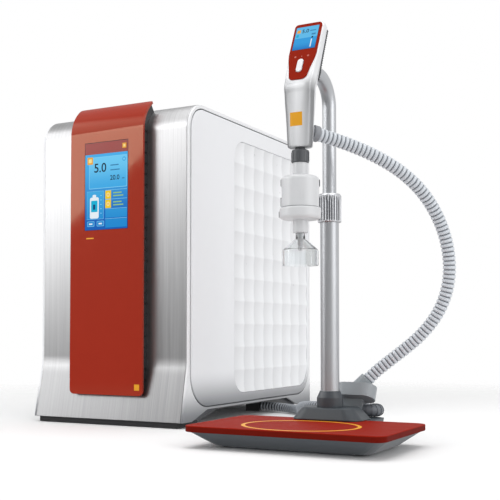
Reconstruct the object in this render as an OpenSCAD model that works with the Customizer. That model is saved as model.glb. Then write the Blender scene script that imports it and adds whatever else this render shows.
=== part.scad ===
// Laboratory water purification system: a steel cabinet with a touch display, and beside it
// a dispensing stand whose column carries a handset on a ribbed hose.
// Millimetres, +Z up. The origin is the middle of the footprint on the bench.

/* [Cabinet] */
// Width of the steel wrap
cab_w = 296; // [270:1:320]
// Depth from the front plane to the rear edge
cab_d = 480; // [470:1:540]
// Height of the steel top above the bench
cab_h = 536; // [510:1:570]
// Thickness of the steel sheet
wrap_t = 2; // [1:0.5:3]
// Radius of the bend from front to top
top_r = 45; // [30:1:60]
// How far the foot of the front sweeps forward
flare_out = 19; // [8:1:22]
// Height of the sweep at the foot of the front
flare_h = 105; // [95:1:160]
// Radius of the bend at the top of the sweep
flare_r = 90; // [60:10:160]
// Height of the strip and feet under the cabinet
foot_h = 9; // [6:1:14]
// Radius of each rear foot
foot_r = 12; // [8:1:16]
// Thickness of the side frames
side_t = 5; // [3:0.5:8]
// How far a side frame's rim stands out beside the steel
rim_t = 4.5; // [3:0.5:5]
// How far a side frame's rim keeps inside the steel's edge
rim_in = 0.6; // [0.4:0.1:1.5]
// Height of the arch under the side frames
arch_h = 26; // [24:1:32]
// Length of the slope at each end of the arch
arch_run = 50; // [30:1:70]
// Length of the front foot of a side frame
arch_front = 11; // [5:1:25]
// Length of the rear foot of a side frame
arch_rear = 60; // [40:1:80]

/* [Side covers] */
// Thickness of a side cover
cover_t = 5.5; // [5:0.5:8]
// Margin between the cover and the edge of the cabinet
cover_edge = 5; // [3:0.5:10]
// Height of the cover's lower edge above the arch
cover_rise = 4; // [3:0.5:6]
// Upper corner radius of a cover
cover_top_r = 40; // [25:1:50]
// Lower corner radius of a cover
cover_low_r = 57; // [40:1:70]
// Distance from the cover's front edge to the insert
insert_front = 148; // [110:1:180]
// Border between the insert and the cover's rear edge
insert_rear = 10; // [8:1:30]
// Border between the insert and the cover's upper and lower edges
insert_edge = 17; // [12:1:30]
// Corner radius of the insert
insert_r = 36; // [20:1:45]
// Depth of the pocket for the insert
pocket_h = 4; // [3.5:0.5:4]
// Thickness of the insert
insert_t = 2.6; // [2.2:0.1:3.2]
// Dimples along the depth of the cabinet
dimple_cols = 8; // [4:1:10]
// Dimples along the height of the cabinet
dimple_rows = 11; // [6:1:14]
// Depth of a dimple
dimple_h = 1.4; // [0.5:0.1:1.6]

/* [Base and rear] */
// Thickness of the floor of the base
floor_t = 6; // [4:0.5:10]
// Length of the front foot of the base
base_front = 52; // [35:1:60]
// Length of the slope behind each foot of the base
base_run = 62; // [40:1:70]
// Length of the rear foot of the base
base_rear = 62; // [50:1:80]
// Depth of the recess at the rear
rear_in = 8; // [6:1:15]
// Thickness of the rear panel
rear_t = 2; // [1:0.5:3]
// Height of the row of rear connections
port_z = 86; // [70:1:120]
// Distance between the water fittings
port_step = 36; // [28:1:42]
// Radius of the tube that a water fitting takes
tube_r = 4; // [3:0.5:5]
// Depth of the bore of a water fitting
tube_seat = 18; // [12:1:20]
// How far the water fittings stand out behind the cabinet
port_out = 16; // [10:1:24]
// Width of the mains socket's mouth
inlet_w = 24.5; // [22:0.5:27]
// Height of the mains socket's mouth
inlet_h = 16.5; // [14:0.5:19]
// Depth of the mains socket
inlet_d = 17; // [14:0.5:20]
// Width of the rocker
rocker_w = 12; // [9:0.5:15]
// Height of the rocker
rocker_h = 21; // [16:0.5:25]
// Angle of the rocker to either side
rocker_tilt = 8; // [4:1:10]

/* [Fascia] */
// Width of the fascia
fascia_w = 150; // [130:1:180]
// Sideways place of the fascia on the front
fascia_x = 0; // [-20:1:20]
// How far the fascia stands out in front of the steel
fascia_out = 19; // [17:0.5:22]
// Thickness of the fascia
fascia_t = 4; // [2.5:0.5:4]
// Height of the fascia's lower edge
fascia_low = 50; // [48:1:80]
// Angle through which the fascia follows the top bend
fascia_sweep = 57; // [40:1:75]
// Width of the screen
screen_w = 88; // [70:1:100]
// Height of the screen
screen_h = 148; // [120:1:155]
// Height of the middle of the screen
screen_z = 403; // [380:1:408]
// Depth of the display module
module_d = 5.5; // [4:0.5:6]
// Distance between the teeth of the fascia frame
tooth_step = 18; // [12:1:30]

/* [Water path] */
// Thickness of the inner wall
wall_t = 2; // [1.5:0.5:4]
// Gap between the inner wall and the top
wall_clear = 60; // [40:1:100]
// Radius of a purification pack
pack_r = 43; // [35:1:45]
// Height of a purification pack
pack_h = 320; // [250:1:360]
// Radius of a pack's neck
neck_r = 16; // [10:1:20]
// Height of a pack's neck
neck_h = 24; // [16:1:30]
// Radius of the membrane housing
membrane_r = 38; // [30:1:45]
// Height of the membrane housing
membrane_h = 370; // [300:1:400]
// Radius of the ultraviolet chamber
uv_r = 27; // [20:1:32]
// Height of the ultraviolet chamber
uv_h = 320; // [250:1:360]
// Radius of the pump's motor
pump_r = 36; // [28:1:42]
// Height of the pump's motor
pump_h = 90; // [70:1:120]
// Radius of the pump's rotor
rotor_r = 21; // [15:1:24]
// Thickness of the pump's rotor
rotor_h = 9; // [6:1:12]
// Radius of the pump's shaft
shaft_r = 4; // [3:0.5:6]
// Width of the power supply
supply_w = 55; // [40:1:70]
// Depth of the power supply
supply_d = 84; // [60:1:100]
// Height of the power supply
supply_h = 190; // [140:1:220]
// Depth of the control board
board_d = 96; // [70:1:110]
// Height of the control board
board_h = 210; // [150:1:240]
// Length of the control board's posts
post_h = 12; // [8:1:18]

/* [Tray] */
// Gap between the cabinet and the tray
stand_gap = 128; // [100:1:180]
// How far the tray reaches in front of the cabinet
tray_ahead = 220; // [150:1:250]
// Width of the tray
tray_w = 286; // [250:1:320]
// Depth of the tray
tray_d = 182; // [175:1:195]
// Height of the tray's surface
tray_z = 30; // [24:1:34]
// Thickness of the red tray top
tray_t = 8.5; // [5:0.5:10]
// Corner radius of the tray
tray_r = 16; // [10:1:25]
// How far the skirt draws in towards its foot
skirt_in = 30; // [20:1:34]
// Height of the stand's pads
pad_h = 2; // [1:0.5:4]
// Radius of the stand's pads
pad_r = 9; // [6:1:12]
// Width of the target ring
ring_l = 166; // [140:1:180]
// Depth of the target ring from front to rear
ring_d = 138; // [120:1:139]
// Width of the target ring's line
ring_w = 4; // [2:0.5:6]
// Depth of the target ring's groove
ring_h = 1.2; // [0.8:0.1:2]
// Distance from the tray's front edge to the middle of the ring
ring_back = 74; // [72:1:96]

/* [Column] */
// Distance from the column to the outlet
reach = 101; // [100:1:110]
// Width of the pedestal's foot
pedestal_w = 108; // [90:1:116]
// Twice the pedestal's reach behind the column
pedestal_d = 84; // [76:1:86]
// How far the pedestal's foot reaches to the front of the column
pedestal_front = 29.5; // [28:0.5:30.5]
// Height of the pedestal
pedestal_h = 18; // [16:1:26]
// How far the pedestal's sides lean in
pedestal_in = 15; // [8:1:18]
// Radius of the lower tube
lower_r = 13.5; // [12.5:0.5:15]
// Wall of the tubes
tube_t = 1.5; // [1:0.25:2]
// Radius of the upper tube
upper_r = 10; // [9:0.5:10.5]
// Height of the lower tube's top
lower_top = 333; // [315:1:350]
// Height of the column collar's straight part
collar_h = 13; // [8:1:18]
// Height of the column collar's cone
collar_cone = 10; // [6:1:14]
// Radius of the column collar
collar_r = 19; // [17:0.5:20]
// Radius of the clamp ring
clamp_r = 17.3; // [16:0.1:19]
// Height of the clamp ring
clamp_h = 41; // [36:1:50]
// Part of the clamp ring above the lower tube
clamp_over = 22; // [16:1:28]
// Flutes round the clamp ring
flutes = 28; // [16:1:36]
// Length of the collet inside the lower tube
collet_h = 40; // [25:1:50]
// Height of the upper tube's level arm
arm_z = 520; // [514:1:526]
// Radius of the bend in the upper tube
bend_r = 40; // [30:1:46]
// Length of the upper tube inside the lower tube
insert_h = 190; // [150:1:200]
// Radius of the holder's spigot
spigot_r = 8; // [6:0.5:8.5]
// Length of the holder's spigot
spigot_h = 14; // [10:1:15]

/* [Hoses] */
// Outer diameter of the dispense hose
hose_d = 19; // [15:1:20]
// Diameter of the dispense hose between its ribs
hose_root = 15.5; // [12:0.5:15.5]
// Bore of the dispense hose
hose_bore = 12; // [8:0.5:12]
// Ribs on the lower stretch of the dispense hose
ribs_lower = 60; // [40:1:70]
// Ribs on the upper stretch of the dispense hose
ribs_upper = 18; // [8:1:24]
// Outer diameter of the umbilical
lead_d = 17; // [14:1:17]
// Diameter of the umbilical between its ribs
lead_root = 13.5; // [11:0.5:13.5]
// Bore of the umbilical
lead_bore = 10; // [7:0.5:10]
// Ribs on the umbilical
ribs_lead = 74; // [50:1:80]
// Length of the hose hub
hub_w = 62; // [56:1:70]
// Thickness of the hose hub
hub_d = 34; // [30:1:36]
// Height of the hose hub
hub_h = 20; // [18:1:21]
// Angle at which the hose hub leans back
hub_lean = 25; // [15:1:27]
// Radius of the hose socket
socket_r = 12; // [10.5:0.5:13]

/* [Handset] */
// Height of the handset's lower end
grip_z = 405; // [401:1:407]
// Width of the handset at its lower end
grip_w = 31; // [28:1:36]
// Width of the handset at its head
head_w = 45; // [44:1:48]
// Length of the head along its slope
head_l = 104; // [96:1:110]
// Angle at which the head leans back
head_lean = 25; // [22:1:28]
// Thickness of the shells
shell_t = 2.2; // [1.6:0.1:2.6]
// Width of the face plate
face_w = 40; // [36:1:40]
// Thickness of the face plate
face_t = 1.2; // [0.8:0.1:2]
// Width of the handset's display
view_w = 35; // [26:1:36]
// Height of the handset's display
view_h = 41; // [32:1:42]
// Width of the dispense button
button_w = 8.6; // [6:0.2:10]
// Length of the dispense button
button_l = 22; // [14:0.2:24]
// Travel of the dispense button
button_travel = 1.5; // [1:0.1:2]
// Radius of the outlet nipple
nipple_r = 6.8; // [5:0.1:7]

/* [Filter] */
// Radius of the filter nut
nut_r = 11.8; // [11.5:0.1:13]
// Height of the filter nut
nut_h = 17; // [14:0.5:20]
// Radius of the filter's necks
filter_neck_r = 10.2; // [9.8:0.1:11]
// Length of the neck above the filter
filter_neck_h = 18; // [12:1:22]
// Radius of the filter's body
filter_r = 25.4; // [21:0.2:26]
// Height of the filter's body
filter_h = 43; // [36:1:50]
// Wall of the filter's body
filter_t = 2.5; // [1.5:0.1:3]
// Radius of the filter's lower ring
filter_ring_r = 28; // [26.5:0.5:30]
// Height of the filter's lower ring
filter_ring_h = 16; // [12:1:20]
// Length of the neck below the filter
filter_out_h = 18; // [12:1:22]
// Radius of the hose barb at its root
barb_r = 4.8; // [4:0.1:5.2]
// Length of the hose barb
barb_h = 24; // [20:1:28]
// Radius of the bell
bell_r = 24.5; // [20:0.1:27]
// Height of the bell's straight part
bell_h = 23; // [16:1:28]
// Height of the bell's shoulder
bell_cone = 14; // [10:1:18]
// Wall of the bell
bell_t = 1.6; // [1.2:0.1:2.2]

/* [Clearances] */
// Gap between fixed pieces that seat in each other
seat = 0.2; // [0.1:0.05:0.3]
// Gap between a turning or sliding piece and its bearing
run = 0.08; // [0.05:0.01:0.1]
// Gap between moving pieces that only pass each other
pass = 0.4; // [0.3:0.05:0.6]

/* [Hidden] */
$fn = 64;
eps = 0.01;

// Places of the cabinet, the column and the outlet in the footprint
total_w = cover_t + cab_w + stand_gap + tray_w;
total_d = tray_ahead + cab_d + port_out;
cab_x = -total_w / 2 + cover_t + cab_w / 2;
cab_y = -total_d / 2 + tray_ahead;
pole_x = total_w / 2 - tray_w / 2;
pole_y = -total_d / 2 + ring_back + reach;

// The sweep of the front is a bend of flare_r and then a straight slope to the foot
flare_top = foot_h + flare_h;
flare_span = norm([flare_r - flare_out, flare_h]);
flare_a = atan2(flare_h, flare_r - flare_out) - acos(flare_r / flare_span);

function arc(c, r, a0, a1, n) =
    [for (i = [0:n]) c + r * [cos(a0 + (a1 - a0) * i / n), sin(a0 + (a1 - a0) * i / n)]];
function reversed(v) = [for (i = [len(v) - 1:-1:0]) v[i]];
function flare_point(a, d) = [(flare_r + d) * cos(a) - flare_r, flare_top - (flare_r + d) * sin(a)];
function flare_y(z, d) = let (p = flare_point(flare_a, d)) z > p.y
    ? sqrt(pow(flare_r + d, 2) - pow(flare_top - z, 2)) - flare_r
    : p.x - (p.y - z) * tan(flare_a);

// Side line of the steel, set in by d: up the front, round the bend and back along the top
function front_path(d) = concat(
    [[flare_y(foot_h, d), foot_h]],
    [for (i = [0:8]) flare_point(flare_a * (8 - i) / 8, d)],
    arc([top_r, cab_h - top_r], top_r - d, 180, 90, 16),
    [[cab_d, cab_h - d]]);

// Side line of the fascia, standing out by o: straight up, then round the bend for the sweep
function fascia_path(o, low, sweep) = concat(
    [[-o, low]], arc([top_r, cab_h - top_r], top_r + o, 180, 180 - sweep, 14));

// Rounded rectangle from corner a to corner b with its own radii below and above
function rounded(a, b, low_r, top_r) = concat(
    arc([b.x - top_r, b.y - top_r], top_r, 0, 90, 10),
    arc([a.x + top_r, b.y - top_r], top_r, 90, 180, 10),
    arc([a.x + low_r, a.y + low_r], low_r, 180, 270, 10),
    arc([b.x - low_r, a.y + low_r], low_r, 270, 360, 10));

module plate(w, d, r) {
    polygon(rounded([-w / 2, -d / 2], [w / 2, d / 2], r, r));
}

module stadium(l, w) {
    polygon(rounded([-l / 2, -w / 2], [l / 2, w / 2], w / 2 - eps, w / 2 - eps));
}

// Extrudes a side view along the width of the object
module along_x(x, len) {
    translate([x, 0, 0]) rotate([90, 0, 90]) linear_extrude(len) children();
}

module block(a, b) {
    translate(a) cube(b - a);
}

module at_cabinet() {
    translate([cab_x, cab_y, 0]) children();
}

module at_column() {
    translate([pole_x, pole_y, 0]) children();
}

module at_outlet() {
    translate([pole_x, pole_y - reach, 0]) children();
}

// Turns the second side into a mirror image of the first
module left_side() {
    mirror([1, 0, 0]) children();
}

module front_panel() {
    color("silver") at_cabinet() along_x(-cab_w / 2, cab_w)
        polygon(concat(front_path(0), reversed(front_path(wrap_t))));
}

// Corners of a side cover and of the insert in its pocket, seen from the side
cover_a = [cover_edge, arch_h + cover_rise];
cover_b = [cab_d - cover_edge, cab_h - wrap_t - cover_edge];
insert_a = cover_a + [insert_front, insert_edge];
insert_b = cover_b - [insert_rear, insert_edge];

module frame_outline(d) {
    polygon(concat(
        front_path(d),
        [[cab_d, foot_h],
         [cab_d - arch_rear, foot_h],
         [cab_d - arch_rear - arch_run, arch_h],
         [arch_front + arch_run, arch_h],
         [arch_front, foot_h]]));
}

module cover_outline(gap) {
    polygon(rounded(cover_a - [gap, gap], cover_b + [gap, gap], cover_low_r + gap, cover_top_r + gap));
}

// A side frame fills the end of the wrap, and its rim frames the cover
module side_frame() {
    color("gray") difference() {
        union() {
            along_x(cab_w / 2 - side_t, side_t + rim_t) frame_outline(wrap_t + seat);
            along_x(cab_w / 2, rim_t) frame_outline(rim_in);
        }
        along_x(cab_w / 2, 2 * rim_t) cover_outline(2 * seat);
    }
}

module side_frame_left() {
    at_cabinet() left_side() side_frame();
}

module side_frame_right() {
    at_cabinet() side_frame();
}

module insert_outline(gap) {
    polygon(rounded(insert_a + [gap, gap], insert_b - [gap, gap], insert_r - gap, insert_r - gap));
}

module side_cover() {
    color("white") difference() {
        along_x(cab_w / 2, cover_t) cover_outline(0);
        along_x(cab_w / 2 + cover_t - pocket_h, pocket_h + 1) insert_outline(0);
    }
}

module side_cover_left() {
    at_cabinet() left_side() side_cover();
}

module side_cover_right() {
    at_cabinet() side_cover();
}

// Shallow round dimples stand in rows and columns over the insert, all but its rounded corners
cell_y = (insert_b.x - insert_a.x) / dimple_cols;
cell_z = (insert_b.y - insert_a.y) / dimple_rows;
dimple_chord = 0.46 * min(cell_y, cell_z);
insert_face = cab_w / 2 + cover_t - pocket_h + insert_t;

module dimple() {
    rotate([0, 90, 0]) rotate_extrude() polygon([
        [0, -dimple_h], [0.45 * dimple_chord, -dimple_h], [0.8 * dimple_chord, -0.42 * dimple_h],
        [dimple_chord, 0], [dimple_chord, 1], [0, 1]]);
}

module side_insert() {
    color("whitesmoke") difference() {
        along_x(insert_face - insert_t, insert_t) insert_outline(seat);
        for (i = [0:dimple_cols - 1])
            for (j = [0:dimple_rows - 1])
                if (i % (dimple_cols - 1) > 0 || j % (dimple_rows - 1) > 0)
                    translate([insert_face, insert_a.x + (i + 0.5) * cell_y,
                        insert_a.y + (j + 0.5) * cell_z]) dimple();
    }
}

module side_insert_left() {
    at_cabinet() left_side() side_insert();
}

module side_insert_right() {
    at_cabinet() side_insert();
}

// The base fills the width between the side frames and stands on two cross feet
base_w = cab_w - 2 * side_t - 2 * seat;
floor_z = arch_h - 3;
floor_top = floor_z + floor_t;
base_back = cab_d - rear_in;

module base_chassis() {
    color("dimgray") at_cabinet() along_x(-base_w / 2, base_w) polygon([
        [flare_y(foot_h, wrap_t + seat), foot_h],
        [base_front, foot_h],
        [base_front + base_run, floor_z],
        [base_back - base_rear - base_run, floor_z],
        [base_back - base_rear, foot_h],
        [base_back, foot_h],
        [base_back, floor_top],
        [flare_y(floor_top, wrap_t + seat), floor_top]]);
}

strip_in = 6;
strip_y = flare_y(foot_h, wrap_t + seat);

module front_strip() {
    color("black") at_cabinet() block(
        [-cab_w / 2 + strip_in, strip_y, 0],
        [cab_w / 2 - strip_in, base_front - strip_in, foot_h]);
}

foot_x = base_w / 2 - foot_r - 10;
foot_y = base_back - base_rear / 2;
tray_front = -reach - ring_back;
tray_back = tray_front + tray_d;
pad_x = tray_w / 2 - skirt_in - pad_r - 8;
pad_front = tray_front + skirt_in + pad_r + 8;
pad_back = tray_back - skirt_in - pad_r - 2;
tail_w = pedestal_w + 16;
tail_d = pedestal_d / 2 + 26;
tail_r = 14;
tail_pad_x = tail_w / 2 - pad_r - 12;
tail_pad_y = tail_d - pad_r - 12;

module rubber_feet() {
    color("black") {
        at_cabinet() for (x = [-foot_x, foot_x])
            translate([x, foot_y, 0]) cylinder(r = foot_r, h = foot_h);
        at_column() for (x = [-1, 1]) {
            translate([x * pad_x, pad_front, 0]) cylinder(r = pad_r, h = pad_h);
            translate([x * pad_x, pad_back, 0]) cylinder(r = pad_r, h = pad_h);
            translate([x * tail_pad_x, tail_pad_y, 0]) cylinder(r = pad_r, h = pad_h);
        }
    }
}

// The rear panel closes the back and carries the water, mains and switch openings
rear_face = cab_d - rear_in + rear_t;
rear_low = foot_h + 4;
rear_high = cab_h - wrap_t - seat;
shank_r = tube_r + 3;
fitting_r = tube_r + 5.5;
flange_t = 3;
port_x = -base_w / 2 + 40;
inlet_x = base_w / 2 - 48;
switch_x = inlet_x - inlet_w / 2 - rocker_w / 2 - 22;
inlet_wall = 2.5;
slot_w = 4;
slot_h = 70;
slot_count = 9;
slot_step = 12;

module rear_panel() {
    color("lightgray") at_cabinet() difference() {
        block([-base_w / 2, cab_d - rear_in, rear_low], [base_w / 2, rear_face, rear_high]);
        for (i = [0:2])
            translate([port_x + i * port_step, cab_d, port_z]) rotate([90, 0, 0])
                cylinder(r = shank_r + seat, h = 4 * rear_in, center = true);
        translate([inlet_x, cab_d, port_z])
            cube([inlet_w + 2 * inlet_wall + 2 * seat, 4 * rear_in,
                inlet_h + 2 * inlet_wall + 2 * seat], center = true);
        translate([switch_x, cab_d, port_z])
            cube([rocker_w + 2 * inlet_wall + 2 * pass + 2 * seat, 4 * rear_in,
                rocker_h + 2 * inlet_wall + 2 * pass + 2 * seat], center = true);
        for (z = [cab_h - 2 * slot_h, cab_h - 3.4 * slot_h])
            for (i = [0:slot_count - 1])
                translate([(i - (slot_count - 1) / 2) * slot_step, cab_d, z])
                    cube([slot_w, 4 * rear_in, slot_h], center = true);
    }
}

// Push-in fittings for the feed, the drain and the store tank, turned from one profile
fitting_len = cab_d + port_out - rear_face;
fitting_tail = 12;

module water_fitting() {
    rotate([-90, 0, 0]) rotate_extrude() polygon([
        [tube_r - 1.5, -fitting_tail], [shank_r, -fitting_tail], [shank_r, 0],
        [fitting_r + 2, 0], [fitting_r + 2, flange_t], [fitting_r, flange_t],
        [fitting_r, fitting_len], [tube_r + 0.05, fitting_len],
        [tube_r + 0.05, fitting_len - tube_seat], [tube_r - 1.5, fitting_len - tube_seat]]);
}

module water_fittings() {
    color("ivory") at_cabinet() for (i = [0:2])
        translate([port_x + i * port_step, rear_face, port_z]) water_fitting();
}

blade_w = 2;
blade_h = 4;
blade_len = inlet_d - 3;

module power_inlet() {
    color("black") at_cabinet() translate([inlet_x, rear_face, port_z]) {
        difference() {
            union() {
                translate([0, flange_t / 2, 0])
                    cube([inlet_w + 22, flange_t, inlet_h + 12], center = true);
                translate([0, (flange_t - inlet_d - inlet_wall) / 2, 0])
                    cube([inlet_w + 2 * inlet_wall, inlet_d + inlet_wall + flange_t,
                        inlet_h + 2 * inlet_wall], center = true);
            }
            translate([0, flange_t - inlet_d / 2 + eps, 0])
                cube([inlet_w, inlet_d + 2 * eps, inlet_h], center = true);
        }
        for (x = [-7, 0, 7])
            translate([x, flange_t - inlet_d + blade_len / 2, x == 0 ? -3 : -5])
                cube([blade_w, blade_len, blade_h], center = true);
    }
}

// The rocker turns on a barrel across its frame, with its face proud of the flange
rocker_pivot = 3;
barrel_r = 3;

module switch_frame() {
    hole_w = rocker_w + 2 * pass;
    hole_h = rocker_h + 2 * pass;
    housing_d = 14;
    color("black") at_cabinet() translate([switch_x, rear_face, port_z]) difference() {
        union() {
            translate([0, flange_t / 2, 0])
                cube([hole_w + 10, flange_t, hole_h + 10], center = true);
            translate([0, (flange_t - housing_d) / 2, 0]) cube([hole_w + 2 * inlet_wall,
                housing_d + flange_t, hole_h + 2 * inlet_wall], center = true);
        }
        translate([0, flange_t - (housing_d - 2) / 2 + eps, 0])
            cube([hole_w, housing_d - 2 + 2 * eps, hole_h], center = true);
        translate([0, flange_t - rocker_pivot, 0]) rotate([0, 90, 0])
            cylinder(r = barrel_r / 2 + run, h = hole_w + 2 * inlet_wall - 1, center = true);
    }
}

module power_rocker() {
    bar_t = 4;
    bar_out = 2;
    color("red") at_cabinet()
        translate([switch_x, rear_face + flange_t - rocker_pivot, port_z])
        rotate([rocker_tilt, 0, 0]) union() {
            rotate([0, 90, 0]) cylinder(r = barrel_r, h = rocker_w, center = true);
            rotate([0, 90, 0]) cylinder(r = barrel_r / 2,
                h = rocker_w + 2 * pass + 2 * inlet_wall - 1.4, center = true);
            translate([0, rocker_pivot + bar_out - bar_t / 2, 0])
                cube([rocker_w, bar_t, rocker_h - 1.2], center = true);
        }
}

// The umbilical passes under the cabinet's arch into a gland block below the base floor
gland_in = 36;
gland_w = 30;
gland_d = 19;
gland_y = min(338, base_back - base_rear - base_run - gland_d / 2 - seat);
gland_z = 10.5;
gland_low = 1;

module umbilical_gland() {
    color("black") at_cabinet() difference() {
        block([cab_w / 2 - gland_in - gland_w, gland_y - gland_d / 2, gland_low],
            [cab_w / 2 - gland_in, gland_y + gland_d / 2, floor_z]);
        translate([cab_w / 2 - gland_in, gland_y, gland_z]) rotate([0, 90, 0])
            cylinder(d = lead_bore, h = gland_w, center = true);
    }
}

// The fascia stands off the steel on a toothed frame, with the screen behind a window
window_w = screen_w + 2;
window_h = screen_h + 2;
frame_in = 4;
frame_wall = 9;
frame_low = fascia_low + 8;
frame_out = fascia_out - fascia_t;
tooth_w = 3;
tooth_h = 2;

module fascia_cover() {
    color("firebrick") at_cabinet() translate([fascia_x, 0, 0]) difference() {
        along_x(-fascia_w / 2, fascia_w) polygon(concat(
            fascia_path(fascia_out, fascia_low, fascia_sweep),
            reversed(fascia_path(fascia_out - fascia_t, fascia_low, fascia_sweep))));
        translate([0, -fascia_out, screen_z])
            cube([window_w, 4 * fascia_t, window_h], center = true);
        along_x(-cab_w, 2 * cab_w)
            polygon(concat(front_path(-2 * seat), [[cab_d, foot_h]]));
    }
}

// Space kept clear in the frame for the display module
module_gap = 1;
module_w = screen_w + 8;
module_h = screen_h + 8;

module fascia_frame() {
    w = fascia_w - 2 * frame_in;
    color("black") at_cabinet() translate([fascia_x, 0, 0]) difference() {
        along_x(-w / 2, w) polygon(concat(
            fascia_path(frame_out - seat / 2, frame_low, fascia_sweep - 2),
            reversed(fascia_path(seat, frame_low, fascia_sweep - 2))));
        along_x(-w / 2 + frame_wall, w - 2 * frame_wall) polygon(concat(
            fascia_path(frame_out + 1, frame_low + frame_wall, fascia_sweep - 12),
            reversed(fascia_path(-1, frame_low + frame_wall, fascia_sweep - 12))));
        along_x(-cab_w, 2 * cab_w)
            polygon(concat(front_path(-seat), [[cab_d, foot_h]]));
        for (z = [frame_low + tooth_step:tooth_step:cab_h - top_r])
            for (x = [-1, 1])
                translate([x * w / 2, 0, z])
                    cube([2 * tooth_h, 4 * frame_out, tooth_w], center = true);
    }
}

module display_lens() {
    color("steelblue") at_cabinet() translate([fascia_x, 0, screen_z]) block(
        [-window_w / 2 + seat, -fascia_out, -window_h / 2 + seat],
        [window_w / 2 - seat, -frame_out - seat, window_h / 2 - seat]);
}

module display_module() {
    color("darkslategray") at_cabinet() translate([fascia_x, 0, screen_z]) block(
        [-module_w / 2, -frame_out, -module_h / 2],
        [module_w / 2, -frame_out + module_d, module_h / 2]);
}

// Inside, an upright wall divides the water path from the electrics
bay_x = (wall_t / 2 + base_w / 2) / 2;
wall_front = 30;
wall_top = cab_h - wall_clear;
board_y = base_back - 30 - board_d;
board_z = 170;
post_r = 3;
post_in = 8;

module board_posts(r, h) {
    for (y = [board_y + post_in, board_y + board_d - post_in])
        for (z = [board_z + post_in, board_z + board_h - post_in])
            translate([0, y, z]) rotate([0, 90, 0]) cylinder(r = r, h = h);
}

module inner_wall() {
    foot_w = 14;
    color("silver") at_cabinet() union() {
        block([-wall_t / 2, wall_front, floor_top], [wall_t / 2, base_back, wall_top]);
        block([-wall_t / 2, wall_front, floor_top], [foot_w, base_back, floor_top + wall_t]);
        board_posts(post_r, wall_t / 2 + post_h);
    }
}

module control_board() {
    board_t = 1.6;
    x = wall_t / 2 + post_h;
    color("green") at_cabinet() union() {
        block([x, board_y, board_z], [x + board_t, board_y + board_d, board_z + board_h]);
        block([x, board_y + 20, board_z + 30], [x + 14, board_y + 50, board_z + 60]);
        block([x, board_y + 20, board_z + 90], [x + 6, board_y + 56, board_z + 126]);
        block([x, board_y + board_d - 26, board_z + 20], [x + 10, board_y + board_d - 16, board_z + 120]);
    }
}

module power_supply() {
    y = base_back - 24 - supply_d;
    color("silver") at_cabinet() block([-wall_t / 2 - supply_w, y, 210],
        [-wall_t / 2, y + supply_d, 210 + supply_h]);
}

// Two packs stand side by side under one head that joins their necks
pack_y = 110;
pack_step = 2 * pack_r + 14;
head_low = floor_top + pack_h + 5;
head_h = 26;
head_edge = neck_r + 16;

module purification_packs() {
    color("white") at_cabinet() for (i = [0:1])
        translate([bay_x, pack_y + i * pack_step, floor_top]) union() {
            cylinder(r = pack_r, h = pack_h);
            translate([0, 0, pack_h - eps]) cylinder(r = neck_r, h = neck_h);
        }
}

module pack_head() {
    color("steelblue") at_cabinet() difference() {
        block([bay_x - head_edge, pack_y - head_edge, head_low],
            [bay_x + head_edge, pack_y + pack_step + head_edge, head_low + head_h]);
        for (i = [0:1])
            translate([bay_x, pack_y + i * pack_step, head_low - 1])
                cylinder(r = neck_r + run, h = neck_h);
    }
}

membrane_y = 90;
uv_y = membrane_y + membrane_r + uv_r + 22;
pump_y = uv_y + uv_r + pump_r + 26;
cap_h = 22;

module membrane_housing() {
    color("white") at_cabinet() translate([-bay_x, membrane_y, floor_top]) union() {
        cylinder(r = membrane_r, h = membrane_h);
        cylinder(r = membrane_r + 4, h = cap_h);
        translate([0, 0, membrane_h - cap_h]) cylinder(r = membrane_r + 4, h = cap_h);
        translate([0, 0, membrane_h - eps]) cylinder(r = 8, h = 18);
    }
}

module uv_chamber() {
    color("silver") at_cabinet() translate([-bay_x, uv_y, floor_top]) union() {
        cylinder(r = uv_r, h = uv_h);
        cylinder(r = uv_r + 4, h = cap_h / 2);
        translate([0, 0, uv_h - cap_h / 2]) cylinder(r = uv_r + 4, h = cap_h / 2);
        translate([-uv_r - 10, 0, uv_h - 40]) rotate([0, 90, 0]) cylinder(r = 6, h = uv_r);
    }
}

// The pump's head holds the rotor in a round chamber above the motor
chamber_z = floor_top + pump_h + 6;
chamber_h = rotor_h + 2 * pass;
pump_head_r = rotor_r + 8;
shaft_h = 50;

module pump_body() {
    color("black") at_cabinet() translate([-bay_x, pump_y, 0]) difference() {
        union() {
            translate([0, 0, floor_top]) cylinder(r = pump_r, h = pump_h);
            translate([0, 0, floor_top + pump_h - eps])
                cylinder(r = pump_head_r, h = chamber_h + 14);
        }
        translate([0, 0, chamber_z]) cylinder(r = rotor_r + pass, h = chamber_h);
        translate([0, 0, chamber_z - shaft_h]) cylinder(r = shaft_r + run, h = shaft_h + 1);
    }
}

module pump_rotor() {
    vane_w = 3;
    color("white") at_cabinet() translate([-bay_x, pump_y, chamber_z + pass]) union() {
        translate([0, 0, pass - shaft_h]) cylinder(r = shaft_r, h = shaft_h);
        cylinder(r = rotor_r, h = rotor_h / 3);
        for (a = [0:60:300])
            rotate([0, 0, a]) translate([0, -vane_w / 2, 0]) cube([rotor_r - 1, vane_w, rotor_h]);
    }
}

module valve_block() {
    coil_r = 14;
    block_h = 34;
    color("gold") at_cabinet() translate([bay_x, base_back - 60, floor_top]) union() {
        translate([-30, -34, 0]) cube([60, 68, block_h]);
        for (y = [-17, 17])
            translate([0, y, block_h - eps]) cylinder(r = coil_r, h = 38);
    }
}

// The tray: a tapered skirt with a tail under the pedestal, and a flat top let into it
skirt_top = tray_z - tray_t;
tray_mid = (tray_front + tray_back) / 2;
slab = 0.5;

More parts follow.
